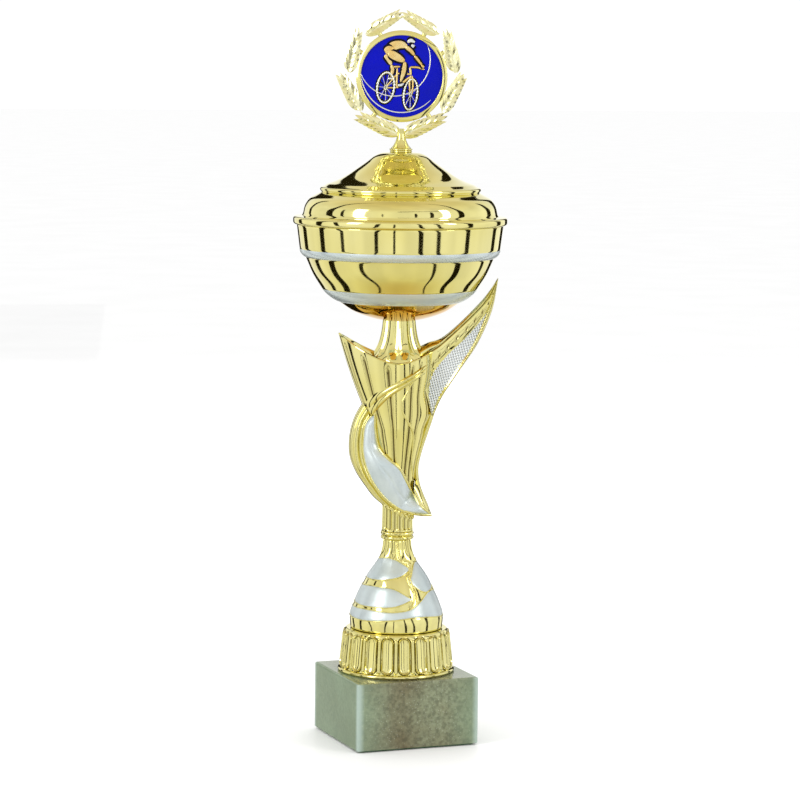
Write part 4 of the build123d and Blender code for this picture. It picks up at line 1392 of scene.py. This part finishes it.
frame_bars = {
    "handlebar": ([(4.6, 5.3), (9.0, 5.2), (13.2, 4.0)], [1.1, 1.1, 1.2]),
    "stem": ([(4.7, 5.2), (5.3, 0.5)], [1.2, 1.3]),
    "fork_left": ([(5.0, 0.6), (4.6, -4.6), (4.9, -10.2)], [1.1, 0.9, 0.8]),
    "fork_right": ([(5.9, 0.6), (6.5, -4.6), (6.1, -10.2)], [1.1, 0.9, 0.8]),
    "top_tube": ([(5.2, 1.2), (-3.1, 1.6)], [1.1, 1.1]),
    "down_tube": ([(5.4, 0.2), (-2.9, -6.6)], [1.3, 1.3]),
    "seat_tube": ([(-2.6, 5.0), (-3.0, -6.6)], [1.1, 1.1]),
    "chain_stay": ([(-2.9, -6.6), (-9.2, -6.6)], [0.9, 0.8]),
    "seat_stay": ([(-2.8, 1.2), (-9.0, -6.2)], [0.8, 0.7]),
    "saddle": ([(-4.6, 5.4), (-1.0, 5.6)], [1.2, 0.9]),
    "crank": ([(-2.9, -6.6), (-0.6, -5.6)], [1.0, 0.9]),
}
wheels = [(-9.2, -6.5, 4.9, 8.7), (5.2, -10.4, 3.9, 8.8)]
lean = math.radians(-7.0)


def oval_path(x, z, wide, high, count=120):
    """Points of a leaning oval on the emblem."""
    turn = np.arange(count) / count * 2 * math.pi
    px, pz = wide * np.cos(turn), high * np.sin(turn)
    return np.stack([
        x + px * math.cos(lean) - pz * math.sin(lean),
        np.full(count, enamel_front),
        emblem_height + z + px * math.sin(lean) + pz * math.cos(lean),
    ], axis=1)


def tyre(x, z, wide, high, half, height, knobs):
    """A closed oval bar with small knobs on its back."""
    path = oval_path(x, z, wide, high)
    middle = np.array([x, enamel_front, emblem_height + z])
    out = unit(path - middle)
    knob_wave = 1 + knobs * (np.arange(len(path)) % 4 < 2)[:, None]
    section = round_section(10) * [half, height]
    grid = path[:, None, :] + out[:, None, :] * (section[None, :, :1] * knob_wave[:, :, None])
    grid = grid + np.array([0, 1.0, 0]) * (section[None, :, 1:] * knob_wave[:, :, None])
    return ring_part(grid)


gold_parts, silver_parts, dark_parts = [], [], []
outline_edge, outline_height = 0.70, 0.26
spokes_in_wheel = 14
for x, z, wide, high in wheels:
    silver_parts.append(tyre(x, z, wide, high, 0.50, 0.42, 0.45))
    silver_parts.append(tyre(x, z, wide * 0.16, high * 0.12, 0.35, 0.4, 0.0))
    dark_parts.append(tyre(x, z, wide, high, 1.35, 0.2, 0.0))
    rim_points = oval_path(x, z, wide - 0.5, high - 0.5, spokes_in_wheel)
    for k in range(spokes_in_wheel):
        spoke_path = np.stack([rim_points[k], [x, enamel_front, emblem_height + z]])
        share = np.linspace(0, 1, 5)[:, None]
        spoke_path = spoke_path[:1] * (1 - share) + spoke_path[1:] * share
        spokes = silver_parts if k % 2 else dark_parts
        thick = 0.13 if k % 2 else 0.38
        spokes.append(swept(spoke_path, (0, 1, 0), thick, 0.18, round_section(6)))
for points, widths in frame_bars.values():
    gold_parts.append(limb(points, widths, 0.35))
    dark_parts.append(limb(points, widths, 0.18, 0.35))
for group, bars in ((gold_parts, body_bars), (silver_parts, helmet_bars),
                    (silver_parts, shoe_bars)):
    for layer, points, widths in bars.values():
        group.append(limb(points, widths, 0.36, -0.12, layer))
        dark_parts.append(limb(points, widths, outline_height, outline_edge, layer))
rider = [
    add_piece("rider_gold", gold_parts, rider_gold, "emblem_holder", ["rider_relief"]),
    add_piece("rider_silver", silver_parts, rider_silver, "emblem_holder"),
    add_piece("rider_outline", dark_parts, rider_dark, "emblem_holder"),
]
# The lid's cone mirrors the holder.  Only its gold shows there, not the emblem.
for piece in (emblem_face, emblem_arcs, *rider):
    piece.visible_glossy = False

# %% [markdown]
# ## Studio
#
# The trophy stands on a pale floor in a white surround.  Polished gold shows what is round it,
# so a large light tent surrounds the set.  Only mirror-like reflections see the tent: it is
# bright at eye level and dimmer above and below, and dark slits of uneven width run down it.
# One narrow dark arch spans its front.

# %% Floor and surround
world = bpy.data.worlds.new("white surround")
world.use_nodes = True
world.node_tree.nodes["Background"].inputs["Color"].default_value = (1.0, 1.0, 1.0, 1)
world.node_tree.nodes["Background"].inputs["Strength"].default_value = 1.06
bpy.context.scene.world = world

floor_look = material("pale floor", (0.95, 0.95, 0.95), (0.93, 0.93, 0.93), 0.0, 0.5, 0.6,
                      8, 60, 0.02)
floor_tree = floor_look.node_tree
matte = floor_tree.nodes["Principled BSDF"]
matte.inputs["Specular IOR Level"].default_value = 0.0
gloss = new_node(floor_tree, "BsdfGlossy", {"Roughness": 0.10})
blend = new_node(floor_tree, "MixShader", {"Fac": 0.05},
                 {1: matte.outputs["BSDF"], 2: gloss.outputs["BSDF"]})
floor_tree.links.new(blend.outputs["Shader"],
                     floor_tree.nodes["Material Output"].inputs["Surface"])
floor_mesh = bpy.data.meshes.new("floor")
floor_half = 20.0
floor_z = cad_low.z - 0.0002
floor_mesh.from_pydata(
    [(-floor_half, -floor_half, floor_z), (floor_half, -floor_half, floor_z),
     (floor_half, floor_half, floor_z), (-floor_half, floor_half, floor_z)],
    [], [(0, 1, 2, 3)],
)
floor_mesh.materials.append(floor_look)
floor = put_in_scene("floor", floor_mesh)
floor.visible_glossy = False

# %% Light tent
tent_radius = 3.4
tent_middle = 0.25


def only_in_mirrors(name, grid, look, round_joined=False):
    """A staged sheet that only mirror-like reflections see."""
    mesh = bpy.data.meshes.new(name)
    rows, columns = grid.shape[:2]
    mesh.from_pydata(grid.reshape(-1, 3).tolist(), [],
                     grid_faces(rows, columns, False, round_joined).tolist())
    mesh.materials.append(look)
    made = put_in_scene(name, mesh)
    made.visible_camera = False
    made.visible_diffuse = False
    made.visible_shadow = False
    made.visible_transmission = False


def glow(name, stops, clouds):
    """A soft glow that changes with height, with slow clouds in it."""
    made = bpy.data.materials.new(name)
    made.use_nodes = True
    made.cycles.emission_sampling = "NONE"
    tree = made.node_tree
    tree.nodes.remove(tree.nodes["Principled BSDF"])
    place = new_node(tree, "TexCoord").outputs["Object"]
    height = new_node(tree, "SeparateXYZ", links={"Vector": place}).outputs["Z"]
    level = ranged(tree, height, tent_middle - tent_radius, tent_middle + tent_radius, 0.0, 1.0)
    ramp = new_node(tree, "ValToRGB", links={"Fac": level})
    while len(ramp.color_ramp.elements) < len(stops):
        ramp.color_ramp.elements.new(0.5)
    for element, (position, colour) in zip(ramp.color_ramp.elements, stops):
        element.position, element.color = position, (*colour, 1)
    noise = new_node(tree, "TexNoise", {"Scale": 0.7}, {"Vector": place})
    strength = ranged(tree, noise.outputs["Fac"], 0.3, 0.7, 1 - clouds, 1 + clouds)
    light = new_node(tree, "Emission",
                     links={"Color": ramp.outputs["Color"], "Strength": strength})
    tree.links.new(light.outputs["Emission"], tree.nodes["Material Output"].inputs["Surface"])
    return made


def tent_point(azimuth, elevation, radius):
    """Points at azimuths and elevations in degrees; azimuth zero is the front of the base."""
    a, e = np.radians(azimuth), np.radians(elevation)
    return np.stack([np.sin(a) * np.cos(e) * radius, -np.cos(a) * np.cos(e) * radius,
                     tent_middle + np.sin(e) * radius + 0 * a], axis=-1)


tent_glow = glow("tent glow", [
    (0.00, (0.60, 0.40, 0.14)),
    (0.02, (0.66, 0.50, 0.20)),
    (0.07, (0.80, 0.74, 0.46)),
    (0.16, (0.88, 0.86, 0.70)),
    (0.34, (1.00, 0.99, 0.95)),
    (0.52, (1.06, 1.06, 1.04)),
    (0.72, (0.95, 0.94, 0.90)),
    (0.96, (0.80, 0.70, 0.50)),
    (1.00, (0.70, 0.60, 0.42)),
], 0.10)
around, upward = np.meshgrid(np.arange(0, 360, 6.0), np.linspace(-89.9, 89.9, 41))
only_in_mirrors("tent", tent_point(around, upward, tent_radius), tent_glow, True)

dark_slit = glow("dark slit", [(0.0, (0.010, 0.008, 0.002)), (1.0, (0.020, 0.016, 0.006))], 0.3)
# Each slit: azimuths far below, at eye level and far above, its width, its lowest and highest
# elevation, all in degrees.
slits = [
    (-142, -117, -112, 10, -75, 74),
    (-68, -93, -96, 5, -74, 30),
    (-62, -45, -38, 4, -46, 22),
    (-30, -27, -26, 2, -34, 12),
    (14, 0, -6, 4.5, -46, 24),
    (42, 20, 16, 5, -74, 28),
    (78, 59, 58, 8, -76, 74),
    (116, 110, 112, 9, -74, 36),
    (134, 139, 140, 13, -76, 40),
    (-150, -156, -160, 8, -74, 40),
    (180, 174, 170, 14, -76, 40),
]
for k, (low_az, eye_az, high_az, width, lowest, highest) in enumerate(slits):
    rise = np.linspace(lowest, highest, 40)
    middle = through([-75, 0, 75], [low_az, eye_az, high_az], rise)
    slim = 1 - 0.55 * np.clip(rise / 60.0, 0, 1)
    half = width / 2 * slim * (1 + 0.25 * np.sin(rise / 9.0 + k)) * ends(40, 0.12)
    side = np.linspace(-1, 1, 3)
    azimuth = middle[:, None] + half[:, None] * side
    sheet_grid = tent_point(azimuth, np.repeat(rise[:, None], 3, axis=1), tent_radius - 0.2)
    only_in_mirrors(f"slit_{k}", sheet_grid, dark_slit)

# One narrow arch over the front.
azimuth = np.linspace(-24, 40, 40)
arch_wave = 2.0 * np.sin(azimuth / 17.0 + 1)
rise = np.stack([30 + arch_wave, 32.5 + arch_wave * 0.6], axis=1)
only_in_mirrors("arch", tent_point(np.repeat(azimuth[:, None], 2, axis=1), rise,
                                   tent_radius - 0.3), dark_slit)


def soft_light(name, bearing, height, distance, width, tall, power, colour):
    """A large soft light that faces the trophy."""
    data = bpy.data.lights.new(name, "AREA")
    data.shape = "RECTANGLE"
    data.size, data.size_y = width, tall
    data.energy = power
    data.color = colour
    lamp = put_in_scene(name, data)
    a = math.radians(bearing)
    lamp.location = (math.sin(a) * distance, -math.cos(a) * distance, height)
    aim_at = Vector((0, 0, 0.22)) - lamp.location
    lamp.rotation_mode = "QUATERNION"
    lamp.rotation_quaternion = aim_at.to_track_quat("-Z", "Y")
    lamp.visible_camera = False
    return lamp


soft_light("left box", -72, 0.85, 1.6, 0.40, 1.1, 8, (1.0, 0.99, 0.96))
soft_light("right box", 36, 0.95, 1.7, 0.30, 1.0, 5, (1.0, 0.98, 0.94))
rear_box = soft_light("rear box", 155, 1.1, 1.7, 0.9, 1.2, 9, (1.0, 1.0, 1.0))
rear_box.visible_glossy = False
bpy.context.scene.view_settings.view_transform = "Standard"
print("slits", len(slits))
